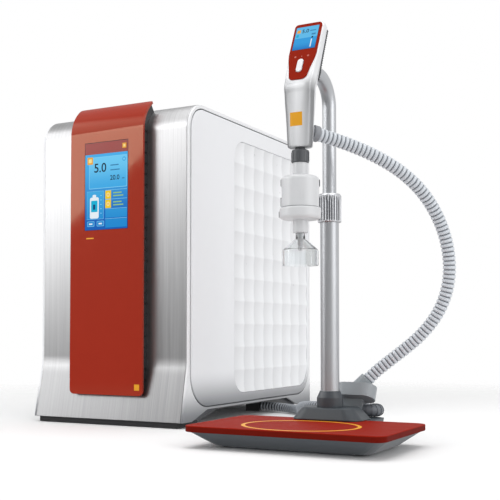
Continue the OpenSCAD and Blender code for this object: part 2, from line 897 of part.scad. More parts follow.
module tray_skirt() {
    color("darkslategray") at_column() union() {
        hull() {
            translate([0, tray_mid, skirt_top - slab])
                linear_extrude(slab) plate(tray_w - 6, tray_d - 6, tray_r);
            translate([0, tray_mid, pad_h]) linear_extrude(slab)
                plate(tray_w - 2 * skirt_in, tray_d - 2 * skirt_in, tray_r);
        }
        hull() {
            translate([0, (tray_back + seat + tail_d) / 2, tray_z - slab]) linear_extrude(slab)
                plate(tail_w, tail_d - tray_back - seat, tail_r);
            translate([0, (tray_back + seat + tail_d) / 2, pad_h]) linear_extrude(slab)
                plate(tail_w - 12, tail_d - tray_back - seat - 4, tail_r);
        }
        block([-tail_w / 2 + 20, tray_back - 2 * skirt_in, pad_h],
            [tail_w / 2 - 20, tray_back + tail_r, skirt_top - slab]);
    }
}

// The target ring is an oval, wider than it is deep
module oval(gap) {
    polygon([for (a = [0:5:355]) [(ring_l / 2 + gap) * cos(a), (ring_d / 2 + gap) * sin(a)]]);
}

module oval_line(gap) {
    difference() {
        oval(gap);
        oval(-ring_w - gap);
    }
}

module tray_top() {
    color("firebrick") at_column() difference() {
        translate([0, tray_mid, skirt_top]) linear_extrude(tray_t) plate(tray_w, tray_d, tray_r);
        translate([0, -reach, tray_z - ring_h]) linear_extrude(2 * ring_h) oval_line(seat);
    }
}

module target_ring() {
    color("orange") at_outlet() translate([0, 0, tray_z - ring_h]) linear_extrude(ring_h) oval_line(0);
}

// The pedestal stands on the tray's rear edge and tail and takes the lower tube in a bore
pedestal_top = tray_z + pedestal_h;
pedestal_top_front = pedestal_front - 8;
pedestal_top_back = pedestal_d / 2 - pedestal_in;
tube_floor = tray_z + 5;

module pedestal() {
    color("darkslategray") at_column() difference() {
        hull() {
            translate([0, (pedestal_d / 2 - pedestal_front) / 2, tray_z]) linear_extrude(slab)
                plate(pedestal_w, pedestal_d / 2 + pedestal_front, 22);
            translate([0, (pedestal_top_back - pedestal_top_front) / 2, pedestal_top - slab])
                linear_extrude(slab) plate(pedestal_w - 2 * pedestal_in,
                    pedestal_top_back + pedestal_top_front, 16);
        }
        translate([0, 0, tube_floor]) cylinder(r = lower_r + seat, h = pedestal_h);
    }
}

module column_collar() {
    color("dimgray") at_column() translate([0, 0, pedestal_top]) rotate_extrude() polygon([
        [lower_r + seat, 0], [collar_r, 0], [collar_r, collar_h],
        [lower_r + 1.2, collar_h + collar_cone], [lower_r + seat, collar_h + collar_cone]]);
}

lower_in = lower_r - tube_t;

module lower_tube() {
    color("silver") at_column() translate([0, 0, tube_floor]) difference() {
        cylinder(r = lower_r, h = lower_top - tube_floor);
        translate([0, 0, -1]) cylinder(r = lower_in, h = lower_top);
    }
}

// The collet guides the upper tube in the mouth of the lower tube
collet_flange = 3;

module collet() {
    color("white") at_column() translate([0, 0, lower_top]) rotate_extrude() polygon([
        [upper_r + run, -collet_h], [lower_in - seat, -collet_h], [lower_in - seat, 0],
        [lower_r, 0], [lower_r, collet_flange], [upper_r + run, collet_flange]]);
}

clamp_low = lower_top + clamp_over - clamp_h;
flute_r = 1.1;

module clamp_ring() {
    step_z = clamp_h - clamp_over + collet_flange + seat;
    color("silver") at_column() translate([0, 0, clamp_low]) difference() {
        rotate_extrude() polygon([
            [lower_r + run, 0], [clamp_r - 1, 0], [clamp_r, 1], [clamp_r, clamp_h - 4],
            [clamp_r - 2, clamp_h], [upper_r + pass, clamp_h], [upper_r + pass, step_z],
            [lower_r + run, step_z]]);
        for (i = [0:flutes - 1])
            rotate([0, 0, i * 360 / flutes]) translate([clamp_r + 0.35 * flute_r, 0, 4])
                cylinder(r = flute_r, h = clamp_h - 12, $fn = 24);
    }
}

// The upper tube rises out of the collet and bends forward into a level arm
upper_in = upper_r - tube_t;
arm_end = 45 - reach;

module bent_rod(r, over) {
    translate([0, 0, lower_top - insert_h - over])
        cylinder(r = r, h = arm_z - bend_r - lower_top + insert_h + over);
    translate([0, -bend_r, arm_z - bend_r]) rotate([0, -90, 0]) rotate([0, 0, 90])
        rotate_extrude(angle = -90) translate([bend_r, 0]) circle(r);
    translate([0, -bend_r, arm_z]) rotate([90, 0, 0]) cylinder(r = r, h = -arm_end - bend_r + over);
}

module upper_tube() {
    color("silver") at_column() difference() {
        bent_rod(upper_r, 0);
        bent_rod(upper_in, 1);
    }
}

// The plug closes the arm and its spigot carries the handset
plug_r = upper_r + 2;
plug_t = 4;

module holder_plug() {
    color("dimgray") at_column() translate([0, arm_end, arm_z]) rotate([90, 0, 0]) union() {
        translate([0, 0, -16]) cylinder(r = upper_in - seat, h = 16 + eps);
        cylinder(r = plug_r, h = plug_t);
        cylinder(r = spigot_r, h = plug_t + spigot_h);
    }
}

// The hose hub leans back on its foot behind the column, and the hose leaves its upper face
hub_x = 20;
hub_y = pedestal_d / 2 + 8;
hub_z = tray_z + 36;
hub_foot_w = 40;
hub_foot_x = 12;
hub_foot_y = pedestal_d / 2 + 2.5;
hub_foot_d = 20;
socket_dir = [0.68, 0.25, 0.69];
socket_h = 24;
socket_base = [hub_x, hub_y + 2, hub_z + 3];
hose_end = socket_base + socket_h * socket_dir;

// Turns +Z to point along d
module aim(p, d) {
    translate(p) rotate([0, acos(d.z / norm(d)), atan2(d.y, d.x)]) children();
}

module hose_hub() {
    color("slategray") at_column() difference() {
        union() {
            translate([hub_x, hub_y, hub_z]) rotate([-hub_lean, 0, 0])
                translate([0, 0, -hub_h / 2]) linear_extrude(hub_h) stadium(hub_w, hub_d);
            intersection() {
                block([hub_foot_x - hub_foot_w / 2, hub_foot_y, tray_z],
                    [hub_foot_x + hub_foot_w / 2, hub_foot_y + hub_foot_d, hub_z]);
                translate([hub_x, hub_y, hub_z]) rotate([-hub_lean, 0, 0])
                    translate([-hub_w, -2 * hub_w, -4 * hub_h]) cube([2 * hub_w, 4 * hub_w, 4 * hub_h]);
            }
        }
        aim(socket_base, socket_dir) cylinder(r = socket_r + seat, h = 2 * socket_h);
    }
}

module hose_socket() {
    color("lightgray") at_column() aim(socket_base, socket_dir) difference() {
        cylinder(r = socket_r, h = socket_h);
        translate([0, 0, 6]) cylinder(d = hose_bore, h = socket_h);
    }
}

// The ribbed boot turns the umbilical round behind the hub
boot_z = tray_z + 9.9;
boot_bend = 13;
boot_r = 8.5;
boot_x = hub_foot_x + hub_foot_w / 2 + 3;
boot_y = hub_foot_y + 8;
boot_ribs = 8;
lead_start = [boot_x - 3, boot_y + 2 * boot_bend, boot_z];

module umbilical_boot() {
    color("dimgray") at_column() union() {
        translate([boot_x - 3, boot_y, boot_z]) rotate([0, 90, 0]) cylinder(r = boot_r, h = 3 + eps);
        translate([boot_x, boot_y + boot_bend, boot_z]) rotate([0, 0, -90])
            rotate_extrude(angle = 180) translate([boot_bend, 0]) circle(boot_r);
        translate([boot_x - 3, boot_y + 2 * boot_bend, boot_z]) rotate([0, 90, 0])
            cylinder(r = boot_r, h = 3 + eps);
        for (i = [0:boot_ribs - 1])
            translate([boot_x, boot_y + boot_bend, boot_z])
                rotate([0, 0, -90 + 180 * (i + 0.5) / boot_ribs])
                translate([boot_bend, 0, 0]) rotate([90, 0, 0])
                cylinder(r = boot_r + 0.7, h = 1.2, center = true);
    }
}

// Routes of the hoses from the column's foot, chosen by hand, with straight ends
grip_dir = [0.64, 0.74, -0.2];
grip_boot_z = grip_z + 26;
boot_out = 27;
hose_start = [0, -reach, grip_boot_z] + (boot_out + seat) * grip_dir;
dispense_route = concat(
    [hose_start, hose_start + hose_d * grip_dir],
    [[44.9, -50.8, 416.3], [63.2, -34.5, 408.3], [81.9, -18.9, 398.1], [99.6, -3.5, 386.0],
     [115.0, 12.4, 371.8], [127.8, 28.3, 355.3], [138.1, 43.2, 336.2], [146.1, 55.8, 314.6],
     [152.0, 65.0, 290.8], [155.2, 70.8, 265.4], [155.0, 73.9, 239.3], [150.2, 75.4, 213.5],
     [140.5, 76.1, 189.2], [126.2, 75.9, 167.3], [108.5, 74.7, 147.9], [88.6, 72.0, 130.7],
     [68.1, 67.8, 114.4]],
    [hose_end + hose_d * socket_dir, hose_end]);

lead_end = [cab_x + cab_w / 2 - gland_in - pole_x, cab_y + gland_y - pole_y, gland_z];
lead_route = concat(
    [lead_start, lead_start - [lead_d, 0, 0]],
    [[-4.6, 79.7, 39.9], [-26.7, 83.5, 39.7], [-50.1, 91.8, 39.2], [-72.4, 105.6, 38.2],
     [-92.2, 124.0, 36.4], [-109.0, 145.5, 33.6], [-123.1, 168.9, 29.8], [-134.9, 193.5, 25.4],
     [-145.4, 218.6, 20.9], [-155.1, 244.1, 16.8], [-164.9, 269.6, 13.4], [-175.7, 294.7, 11],
     [-188.4, 319.0, 9.6], [-204.2, 341.2, 9.1], [-223.6, 359.9, 9], [-246.0, 373.4, 9.3],
     [-269.2, 380.7, 10]],
    [lead_end + [lead_d, 0, 0], lead_end]);

function spline(a, b, c, d, t) = 0.5 * (2 * b + (c - a) * t + (2 * a - 5 * b + 4 * c - d) * t * t
    + (3 * b - a - 3 * c + d) * t * t * t);
function smooth_route(p, n) = let (m = len(p)) concat(
    [for (i = [0:m - 2]) for (k = [0:n - 1])
        spline(i > 0 ? p[i - 1] : 2 * p[0] - p[1], p[i], p[i + 1],
            i < m - 2 ? p[i + 2] : 2 * p[m - 1] - p[m - 2], k / n)],
    [p[m - 1]]);
function run_lengths(p) = [for (i = 0, s = 0; i < len(p);
    s = s + (i + 1 < len(p) ? norm(p[i + 1] - p[i]) : 0), i = i + 1) s];
function at_length(t, s) = [lookup(s, t[0]), lookup(s, t[1]), lookup(s, t[2])];
function unit(v) = v / norm(v);

// One closed tube from length s0 to s1 of a route: ribs outside, a smooth bore inside
module ribbed_tube(route, across, outer_d, root_d, bore_d, ribs, from, to) {
    sides = 8;
    step = 0.5;
    p = smooth_route(route, 8);
    len_at = run_lengths(p);
    total = len_at[len(p) - 1];
    table = [for (axis = [0:2]) [for (i = [0:len(p) - 1]) [len_at[i], p[i][axis]]]];
    s0 = from * total;
    s1 = to * total;
    outer_n = 2 * ribs;
    bore_n = ceil(ribs / 2);
    function ring(s, r) = let (
        t = unit(at_length(table, min(s + step, total)) - at_length(table, max(s - step, 0))),
        u = unit(cross(across, t)), v = cross(t, u))
        [for (k = [0:sides - 1]) at_length(table, s)
            + r * (u * cos(360 * k / sides) + v * sin(360 * k / sides))];
    outer = [for (i = [0:outer_n]) each ring(s0 + (s1 - s0) * i / outer_n,
        (i % 2 == 0 ? root_d : outer_d) / 2)];
    inner = [for (i = [0:bore_n]) each ring(s0 + (s1 - s0) * i / bore_n, bore_d / 2)];
    first = len(outer);
    last_out = outer_n * sides;
    last_in = first + bore_n * sides;
    next = [for (k = [0:sides - 1]) (k + 1) % sides];
    skin = [for (i = [0:outer_n - 1]) for (k = [0:sides - 1])
        let (a = i * sides + k, b = i * sides + next[k])
        each [[a, b + sides, b], [a, a + sides, b + sides]]];
    wall = [for (i = [0:bore_n - 1]) for (k = [0:sides - 1])
        let (a = first + i * sides + k, b = first + i * sides + next[k])
        each [[a, b, b + sides], [a, b + sides, a + sides]]];
    ends = [for (k = [0:sides - 1]) each [
        [k, next[k], first + next[k]], [k, first + next[k], first + k],
        [last_out + k, last_in + next[k], last_out + next[k]],
        [last_out + k, last_in + k, last_in + next[k]]]];
    polyhedron(concat(outer, inner), concat(skin, wall, ends));
}

// The dispense hose is two stretches that meet at a rib, so that the upper one can follow the handset
hose_plane = [-0.6, 0.8, 0];
hose_split = ribs_upper / (ribs_upper + ribs_lower);

module umbilical_hose() {
    color("dimgray") at_column() ribbed_tube(lead_route, [0, 0, 1],
        lead_d, lead_root, lead_bore, ribs_lead, 0, 1);
}

module dispense_hose_upper() {
    color("gainsboro") at_column() ribbed_tube(dispense_route, hose_plane,
        hose_d, hose_root, hose_bore, ribs_upper, 0, hose_split);
}

module dispense_hose_lower() {
    color("gainsboro") at_column() ribbed_tube(dispense_route, hose_plane,
        hose_d, hose_root, hose_bore, ribs_lower, hose_split, 1);
}

// The handset: an upright grip and a head that leans back, split into a front and a rear shell
grip_top = grip_z + 85;
head_z = grip_z + 82;
neck = 3;
grip_d = 24;
head_d = 26;
head_tip_d = 20;
face_y = -head_d / 2;
split_y = 2;

module at_head() {
    translate([0, 0, head_z]) rotate([-head_lean, 0, 0]) children();
}

module grip_form(d) {
    hull() {
        translate([0, 0, grip_z + d]) linear_extrude(slab)
            plate(grip_w - 2 * d, grip_d - 2 * d, 10 - d);
        translate([0, 0, (grip_z + grip_top) / 2]) linear_extrude(slab)
            plate((grip_w + head_w) / 2 - 2 * d, head_d - 2 * d, 11 - d);
        translate([0, 0, grip_top - d]) linear_extrude(slab)
            plate(head_w - 2 - 2 * d, head_d - 2 * d, 9 - d);
    }
}

module head_form(d) {
    at_head() hull() {
        translate([0, 0, d - neck]) linear_extrude(slab)
            plate(head_w - 2 - 2 * d, head_d - 2 * d, 3);
        translate([0, (head_tip_d - head_d) / 2, head_l - d]) linear_extrude(slab)
            plate(head_w - 2 * d, head_tip_d - 2 * d, 3);
    }
}

module handset_form(d) {
    grip_form(d);
    head_form(d);
}

// Side view of all that lies in front of the parting line
module front_half(gap) {
    far = 2 * head_l;
    along_x(-head_w, 2 * head_w) polygon([
        [-far, grip_z - far], [split_y - gap, grip_z - far], [split_y - gap, head_z],
        [split_y - gap + far * sin(head_lean), head_z + far * cos(head_lean)],
        [-far, head_z + far * cos(head_lean)]]);
}

// Places on the head's face, measured up its slope
view_mid = head_l - 8 - view_h / 2;
button_mid = 27;
face_top = head_l - 3;
face_low = 4;

module face_outline(gap = 0) {
    tip_r = 0.4 * face_w;
    offset(delta = gap) polygon(concat(
        arc([face_w / 2 - 3, face_top - 3], 3, 0, 90, 6),
        arc([-face_w / 2 + 3, face_top - 3], 3, 90, 180, 6),
        [[-face_w / 2, head_l / 2]],
        arc([0, face_low + tip_r], tip_r, 195, 345, 14),
        [[face_w / 2, head_l / 2]]));
}

// Extrudes a face view through the head, from depth y0 to y1
module through_face(y0, y1) {
    at_head() translate([0, y1, 0]) rotate([90, 0, 0]) linear_extrude(y1 - y0) children();
}

module button_slot(gap) {
    translate([0, button_mid]) rotate(90) stadium(button_l + 2 * gap, button_w + 2 * gap);
}

board_t = 1.6;
board_face = face_y + shell_t + 4.2;
board_mid = 48;

module handset_front() {
    post_r = 2;
    color("gainsboro") at_outlet() difference() {
        union() {
            difference() {
                intersection() {
                    union() handset_form(0);
                    front_half(0);
                }
                union() handset_form(shell_t);
            }
            at_head() for (x = [-12, 12])
                translate([x, board_face, board_mid + 24]) rotate([90, 0, 0])
                    cylinder(r = post_r, h = board_face - face_y - 1);
        }
        through_face(face_y - 10, face_y) face_outline(seat);
        through_face(face_y - 5, face_y + 2 * shell_t) button_slot(pass);
        translate([0, 0, grip_z - 1]) cylinder(r = nipple_r + seat, h = 2 * shell_t);
    }
}

// The rear shell has the bore for the holder's spigot and the hole for the hose boot
sleeve_r = spigot_r + 3.5;
sleeve_y = reach + arm_end - plug_t - seat;
sleeve_h = spigot_h + 6;
boot_spigot_r = hose_d / 2 - 1.5;

module handset_rear() {
    color("gainsboro") at_outlet() difference() {
        union() {
            difference() {
                intersection() {
                    union() handset_form(0);
                    difference() {
                        translate([-head_w, -2 * head_l, grip_z - 1])
                            cube([2 * head_w, 4 * head_l, 4 * head_l]);
                        front_half(-seat);
                    }
                }
                union() handset_form(shell_t);
            }
            translate([0, sleeve_y, arm_z]) rotate([90, 0, 0]) cylinder(r = sleeve_r, h = sleeve_h);
        }
        translate([0, sleeve_y + 1, arm_z]) rotate([90, 0, 0])
            cylinder(r = spigot_r + run, h = spigot_h + 2);
        aim([0, 0, grip_boot_z], grip_dir) cylinder(r = boot_spigot_r + seat, h = 2 * boot_out);
        translate([0, 0, grip_z - 1]) cylinder(r = nipple_r + seat, h = 2 * shell_t);
    }
}

module handset_face() {
    color("firebrick") at_outlet() difference() {
        through_face(face_y - face_t, face_y) face_outline();
        through_face(face_y - 2 * face_t, face_y + face_t)
            translate([0, view_mid]) square([view_w + 2 * seat, view_h + 2 * seat], center = true);
        through_face(face_y - 2 * face_t, face_y + face_t) button_slot(pass);
    }
}

module handset_display() {
    color("steelblue") at_outlet() through_face(face_y - face_t + seat, face_y)
        translate([0, view_mid]) square([view_w, view_h], center = true);
}

module dispense_button() {
    color("white") at_outlet() through_face(face_y - face_t - 1.2, board_face - button_travel - pass)
        button_slot(0);
}

module handset_board() {
    color("green") at_outlet() at_head()
        translate([-16, board_face, board_mid - 34]) cube([32, board_t, 64]);
}

// The valve fills the grip; its nipple comes out below and holds the filter nut
valve_r = 9;
nipple_low = grip_z - 12.5;
nut_top = grip_z - 3.5;
nut_low = nut_top - nut_h;
nut_lip = 5;
nut_in = filter_neck_r - 0.7;
thread_r = nut_in - 0.3;

module handset_valve() {
    color("dimgray") at_outlet() union() {
        translate([0, 0, grip_z + shell_t]) cylinder(r = valve_r, h = 54);
        translate([0, 0, nipple_low]) cylinder(r = nipple_r, h = grip_z + shell_t - nipple_low + eps);
        translate([0, 0, nipple_low]) cylinder(r = thread_r, h = nut_top - nut_lip - seat - nipple_low);
    }
}

module handset_boot() {
    color("dimgray") at_outlet() aim([0, 0, grip_boot_z], grip_dir) difference() {
        union() {
            translate([0, 0, valve_r + 2.5])
                cylinder(r = boot_spigot_r, h = boot_out - valve_r - 2.5);
            translate([0, 0, boot_out - 8]) cylinder(r = hose_d / 2 + 1.5, h = 8);
        }
        translate([0, 0, valve_r]) cylinder(d = hose_bore, h = boot_out);
    }
}

module filter_nut() {
    color("dimgray") at_outlet() translate([0, 0, nut_low]) difference() {
        cylinder(r = nut_r, h = nut_h);
        translate([0, 0, -1]) cylinder(r = nut_in, h = nut_h - nut_lip + 1);
        cylinder(r = nipple_r + run, h = 2 * nut_h);
        for (i = [0:7])
            rotate([0, 0, i * 45]) translate([nut_r, 0, i % 2 == 0 ? nut_h : 0])
                cube([2, 2, nut_h], center = true);
    }
}

// The filter hangs from the nut: a capsule over a wide ring with the outlet and its barb
filter_top = nut_low - seat - filter_neck_h;
filter_low = filter_top - filter_h;
ring_low = filter_low - filter_ring_h;
outlet_low = ring_low - filter_out_h;
filter_bore = 3;

module filter_body() {
    color("white") at_outlet() union() {
        rotate_extrude() polygon(concat(
            [[filter_bore, nipple_low - seat], [filter_bore, filter_top - filter_t - 6],
             [filter_r - filter_t - 6, filter_top - filter_t],
             [filter_r - filter_t, filter_top - filter_t - 6],
             [filter_r - filter_t, filter_low], [filter_r, filter_low]],
            arc([filter_r - 6, filter_top - 6], 6, 0, 90, 6),
            [[filter_neck_r, filter_top], [filter_neck_r, nut_low - seat],
             [thread_r, nut_low - seat], [thread_r, nipple_low - seat]]));
        for (a = [30:90:300])
            rotate([0, 0, a]) translate([filter_r - 1, -2, filter_low]) cube([3, 4, filter_h - 14]);
    }
}

// Each step of the barb is a short cone, widest at its upper end
barb_steps = 3;
barb_root = 9;
barb_step = (barb_h - barb_root) / barb_steps;

module filter_base() {
    color("white") at_outlet() difference() {
        union() {
            translate([0, 0, ring_low]) cylinder(r = filter_ring_r, h = filter_ring_h);
            translate([0, 0, outlet_low]) cylinder(r = filter_neck_r, h = filter_out_h + eps);
            translate([0, 0, outlet_low - barb_root]) cylinder(r = barb_r, h = barb_root + eps);
            for (i = [0:barb_steps - 1])
                translate([0, 0, outlet_low - barb_root - (i + 1) * barb_step])
                    cylinder(r1 = barb_r - 1.6 - 0.3 * i, r2 = barb_r - 0.2 - 0.4 * i, h = barb_step + eps);
        }
        translate([0, 0, outlet_low - barb_h - 1]) cylinder(r = 1.6, h = 2 * barb_h + filter_out_h);
    }
}

module filter_membrane() {
    color("ivory") at_outlet() translate([0, 0, filter_low]) difference() {
        cylinder(r = filter_r - filter_t - 4, h = filter_h - filter_t - 10);
        translate([0, 0, -1]) cylinder(r = filter_bore, h = filter_h);
    }
}

// The bell pushes onto the root of the barb and shields the stream
bell_neck_h = 7;
bell_top = outlet_low - seat;
bell_neck_r = barb_r + run + bell_t;

module bell() {
    color("lightcyan", 0.5) at_outlet() translate([0, 0, bell_top]) rotate_extrude() polygon([
        [barb_r + run, 0], [bell_neck_r, 0], [bell_neck_r, -bell_neck_h],
        [bell_r, -bell_neck_h - bell_cone], [bell_r, -bell_neck_h - bell_cone - bell_h],
        [bell_r - bell_t, -bell_neck_h - bell_cone - bell_h],
        [bell_r - bell_t, -bell_neck_h - bell_cone - 0.6],
        [barb_r + run, -bell_neck_h - 0.8]]);
}

front_panel();
side_frame_left();
side_frame_right();
side_cover_left();
side_cover_right();
side_insert_left();
side_insert_right();
base_chassis();
front_strip();
rubber_feet();
rear_panel();
water_fittings();
power_inlet();
switch_frame();
power_rocker();
umbilical_gland();
fascia_cover();
fascia_frame();
display_lens();
display_module();
inner_wall();
control_board();
power_supply();
purification_packs();
pack_head();
membrane_housing();
uv_chamber();
pump_body();
pump_rotor();
valve_block();
tray_skirt();
tray_top();
target_ring();
pedestal();
column_collar();
lower_tube();
collet();
clamp_ring();
upper_tube();
holder_plug();
hose_hub();
hose_socket();
umbilical_boot();
umbilical_hose();
dispense_hose_lower();
dispense_hose_upper();
handset_front();
handset_rear();
handset_face();
handset_display();
dispense_button();
handset_board();
handset_valve();
handset_boot();
filter_nut();
filter_body();
filter_base();
filter_membrane();
bell();
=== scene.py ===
import math

import bmesh
import bpy
from mathutils import Matrix, Vector


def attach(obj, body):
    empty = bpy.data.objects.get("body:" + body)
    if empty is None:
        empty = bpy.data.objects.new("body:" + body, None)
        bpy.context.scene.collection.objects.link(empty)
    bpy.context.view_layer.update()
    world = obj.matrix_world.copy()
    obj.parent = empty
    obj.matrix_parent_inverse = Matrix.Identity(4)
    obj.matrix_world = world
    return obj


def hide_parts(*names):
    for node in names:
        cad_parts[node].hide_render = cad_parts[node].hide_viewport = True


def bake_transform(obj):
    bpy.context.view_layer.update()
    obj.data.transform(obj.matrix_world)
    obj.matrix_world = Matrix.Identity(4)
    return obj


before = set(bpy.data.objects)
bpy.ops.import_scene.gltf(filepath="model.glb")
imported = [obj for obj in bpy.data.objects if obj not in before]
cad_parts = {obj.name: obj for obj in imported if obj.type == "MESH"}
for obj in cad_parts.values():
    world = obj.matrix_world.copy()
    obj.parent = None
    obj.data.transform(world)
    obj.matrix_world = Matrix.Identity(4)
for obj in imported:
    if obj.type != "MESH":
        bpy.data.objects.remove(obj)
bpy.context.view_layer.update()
scene = bpy.context.scene
scene.view_settings.view_transform = "Standard"

# Camera: a portrait lens a little above the tray, to the right of the cabinet's front corner.
# It looks slightly up, and a small rise of the lens keeps the uprights nearly straight.
lens = bpy.data.cameras.new("camera")
lens.sensor_width = 36.0
lens.lens = 66.42
lens.shift_y = 0.1
lens.dof.use_dof = False
camera = bpy.data.objects.new("camera", lens)
camera.location = (0.73475, -1.4155, 0.1561)
camera.rotation_euler = (math.radians(91.96), 0.0, math.radians(27.82))
scene.collection.objects.link(camera)
scene.camera = camera


# Studio: a white sweep, seen as white by the lens. Metal and gloss see the room around it: bright on
# the right, greyer ahead and behind, and on the left dark over the bench and bright high up.
class Tone:
    """A shader socket that Python expressions can add, subtract and multiply."""

    def __init__(self, tree, socket):
        self.tree = tree
        self.socket = socket

    def node(self, kind, settings, sockets, out=0):
        made = self.tree.nodes.new(kind)
        for key, value in settings.items():
            if key == "stops":
                ramp = made.color_ramp.elements
                while len(ramp) < len(value):
                    ramp.new(1.0)
                for stop, (place, grey) in zip(ramp, value):
                    stop.position = place
                    stop.color = (grey, grey, grey, 1.0)
            else:
                setattr(made, key, value)
        for key, value in sockets.items():
            if isinstance(value, Tone):
                self.tree.links.new(value.socket, made.inputs[key])
            else:
                made.inputs[key].default_value = value
        return Tone(self.tree, made.outputs[out])

    def maths(self, operation, first, second):
        return self.node("ShaderNodeMath", {"operation": operation}, {0: first, 1: second})

    def mixed(self, first, second):
        """Blends two colours by this value."""
        return self.node("ShaderNodeMix", {"data_type": "RGBA"}, {0: self, 6: first, 7: second}, out=2)

    def part(self, low, high):
        """How far this value has come from low to high, eased at both ends."""
        return self.node("ShaderNodeMapRange", {"interpolation_type": "SMOOTHSTEP"},
                         {"Value": self, "From Min": low, "From Max": high})

    def __add__(self, other):
        return self.maths("ADD", self, other)

    __radd__ = __add__

    def __sub__(self, other):
        return self.maths("SUBTRACT", self, other)

    def __rsub__(self, other):
        return self.maths("SUBTRACT", other, self)

    def __mul__(self, other):
        return self.maths("MULTIPLY", self, other)

    __rmul__ = __mul__


def plain_colour(r, g, b):
    """A screen colour from 0 to 255 as the linear colour that a shader takes."""
    def linear(c):
        c = c / 255
        return c / 12.92 if c <= 0.04045 else ((c + 0.055) / 1.055) ** 2.4
    return (linear(r), linear(g), linear(b), 1.0)


studio = bpy.data.worlds.new("studio")
studio.use_nodes = True
scene.world = studio
room = studio.node_tree
ray = room.nodes.new("ShaderNodeLightPath")
way = Tone(room, room.nodes.new("ShaderNodeTexCoord").outputs["Generated"])
lens_right, lens_ahead = (0.884, 0.467, 0.0), (-0.467, 0.884, 0.0)
across, away = (way.node("ShaderNodeVectorMath", {"operation": "DOT_PRODUCT"}, {0: way, 1: aim}, out=1)
                for aim in (lens_right, lens_ahead))
height = way.node("ShaderNodeSeparateXYZ", {}, {0: way}, out=2)
from_left = across * 0.5 + 0.5
before = across.node("ShaderNodeValToRGB", {"stops": [
    (0.0, 0.28), (0.1, 0.2), (0.2, 0.4), (0.375, 0.55), (0.475, 0.45), (0.575, 0.55), (0.7, 0.95),
    (1.0, 1.0)]}, {0: from_left})
behind = across.node("ShaderNodeValToRGB", {"stops": [
    (0.0, 0.8), (0.25, 0.45), (0.5, 0.5), (0.75, 0.9), (1.0, 1.0)]}, {0: from_left})
bench = height.node("ShaderNodeValToRGB", {"stops": [
    (0.0, 0.6), (0.465, 0.4), (0.49, 0.5), (0.53, 0.9), (0.6, 1.8), (0.7, 5.5), (0.85, 9.5),
    (1.0, 10.0)]}, {0: height * 0.5 + 0.5})
bench = 1.0 + (bench - 1.0) * (1.0 - across.part(-0.8, -0.66))
mirrored = away.part(-0.2, 0.2).mixed(before, behind) * bench
seen = Tone(room, ray.outputs["Is Camera Ray"]) + Tone(room, ray.outputs["Is Transmission Ray"])
glossy = Tone(room, ray.outputs["Is Glossy Ray"])
room_grey, paper_white = (0.58, 0.58, 0.58, 1.0), (1.0, 1.0, 1.0, 1.0)
lit = glossy.mixed(seen.mixed(room_grey, paper_white), mirrored)
room.links.new(lit.socket, room.nodes["Background"].inputs["Color"])


def soft_box(name, place, aim, size, watts, roll=0.0):
    """A rectangular lamp that faces along aim."""
    lamp = bpy.data.lights.new(name, "AREA")
    lamp.shape = "RECTANGLE"
    lamp.size, lamp.size_y = size
    lamp.energy = watts
    box = bpy.data.objects.new(name, lamp)
    turn = Vector(aim).to_track_quat("-Z", "Y").to_matrix() @ Matrix.Rotation(roll, 3, "Z")
    box.matrix_world = Matrix.Translation(place) @ turn.to_4x4()
    scene.collection.objects.link(box)


def blank_finish(name):
    """A new material, its nodes, its shader and the place on the piece."""
    made = bpy.data.materials.new(name)
    made.use_nodes = True
    tree = made.node_tree
    spot = Tone(tree, tree.nodes.new("ShaderNodeTexCoord").outputs["Object"])
    return made, tree, tree.nodes["Principled BSDF"], spot


soft_box("left_card", (-1.5, -1.7, 0.893), (0, 1, 0), (2.6, 0.5), 17.0, math.radians(35.5))
soft_box("right_box", (2.3, -0.5, 1.1), (-0.9, 0.1, -0.35), (1.6, 1.8), 17.0)
soft_box("top_box", (0.1, -0.3, 2.1), (0, 0.1, -1), (2.2, 1.8), 24.0)

sweep = bmesh.new()
bmesh.ops.create_grid(sweep, x_segments=2, y_segments=2, size=3.0)
sweep_mesh = bpy.data.meshes.new("floor")
sweep.to_mesh(sweep_mesh)
sweep.free()
floor = bpy.data.objects.new("floor", sweep_mesh)
floor.location.z = -0.0006
scene.collection.objects.link(floor)
paper, tree, shader, spot = blank_finish("white_sweep")
reach = spot.node("ShaderNodeVectorMath", {"operation": "LENGTH"}, {0: spot}, out=1)
fibre = spot.node("ShaderNodeTexNoise", {}, {"Vector": spot, "Scale": 40.0})
shader.inputs["Base Color"].default_value = (0.93, 0.93, 0.93, 1.0)
tree.links.new((fibre * 0.1 + 0.75).socket, shader.inputs["Roughness"])
clear = reach.node("ShaderNodeBsdfTransparent", {}, {})
ground = Tone(tree, shader.outputs[0])
mirror_ray = Tone(tree, tree.nodes.new("ShaderNodeLightPath").outputs["Is Glossy Ray"])
fade = reach.maths("MAXIMUM", reach.part(0.55, 1.5), mirror_ray * 0.8)
whole = reach.node("ShaderNodeMixShader", {}, {0: fade, 1: ground, 2: clear})
tree.links.new(whole.socket, tree.nodes["Material Output"].inputs["Surface"])
floor.data.materials.append(paper)


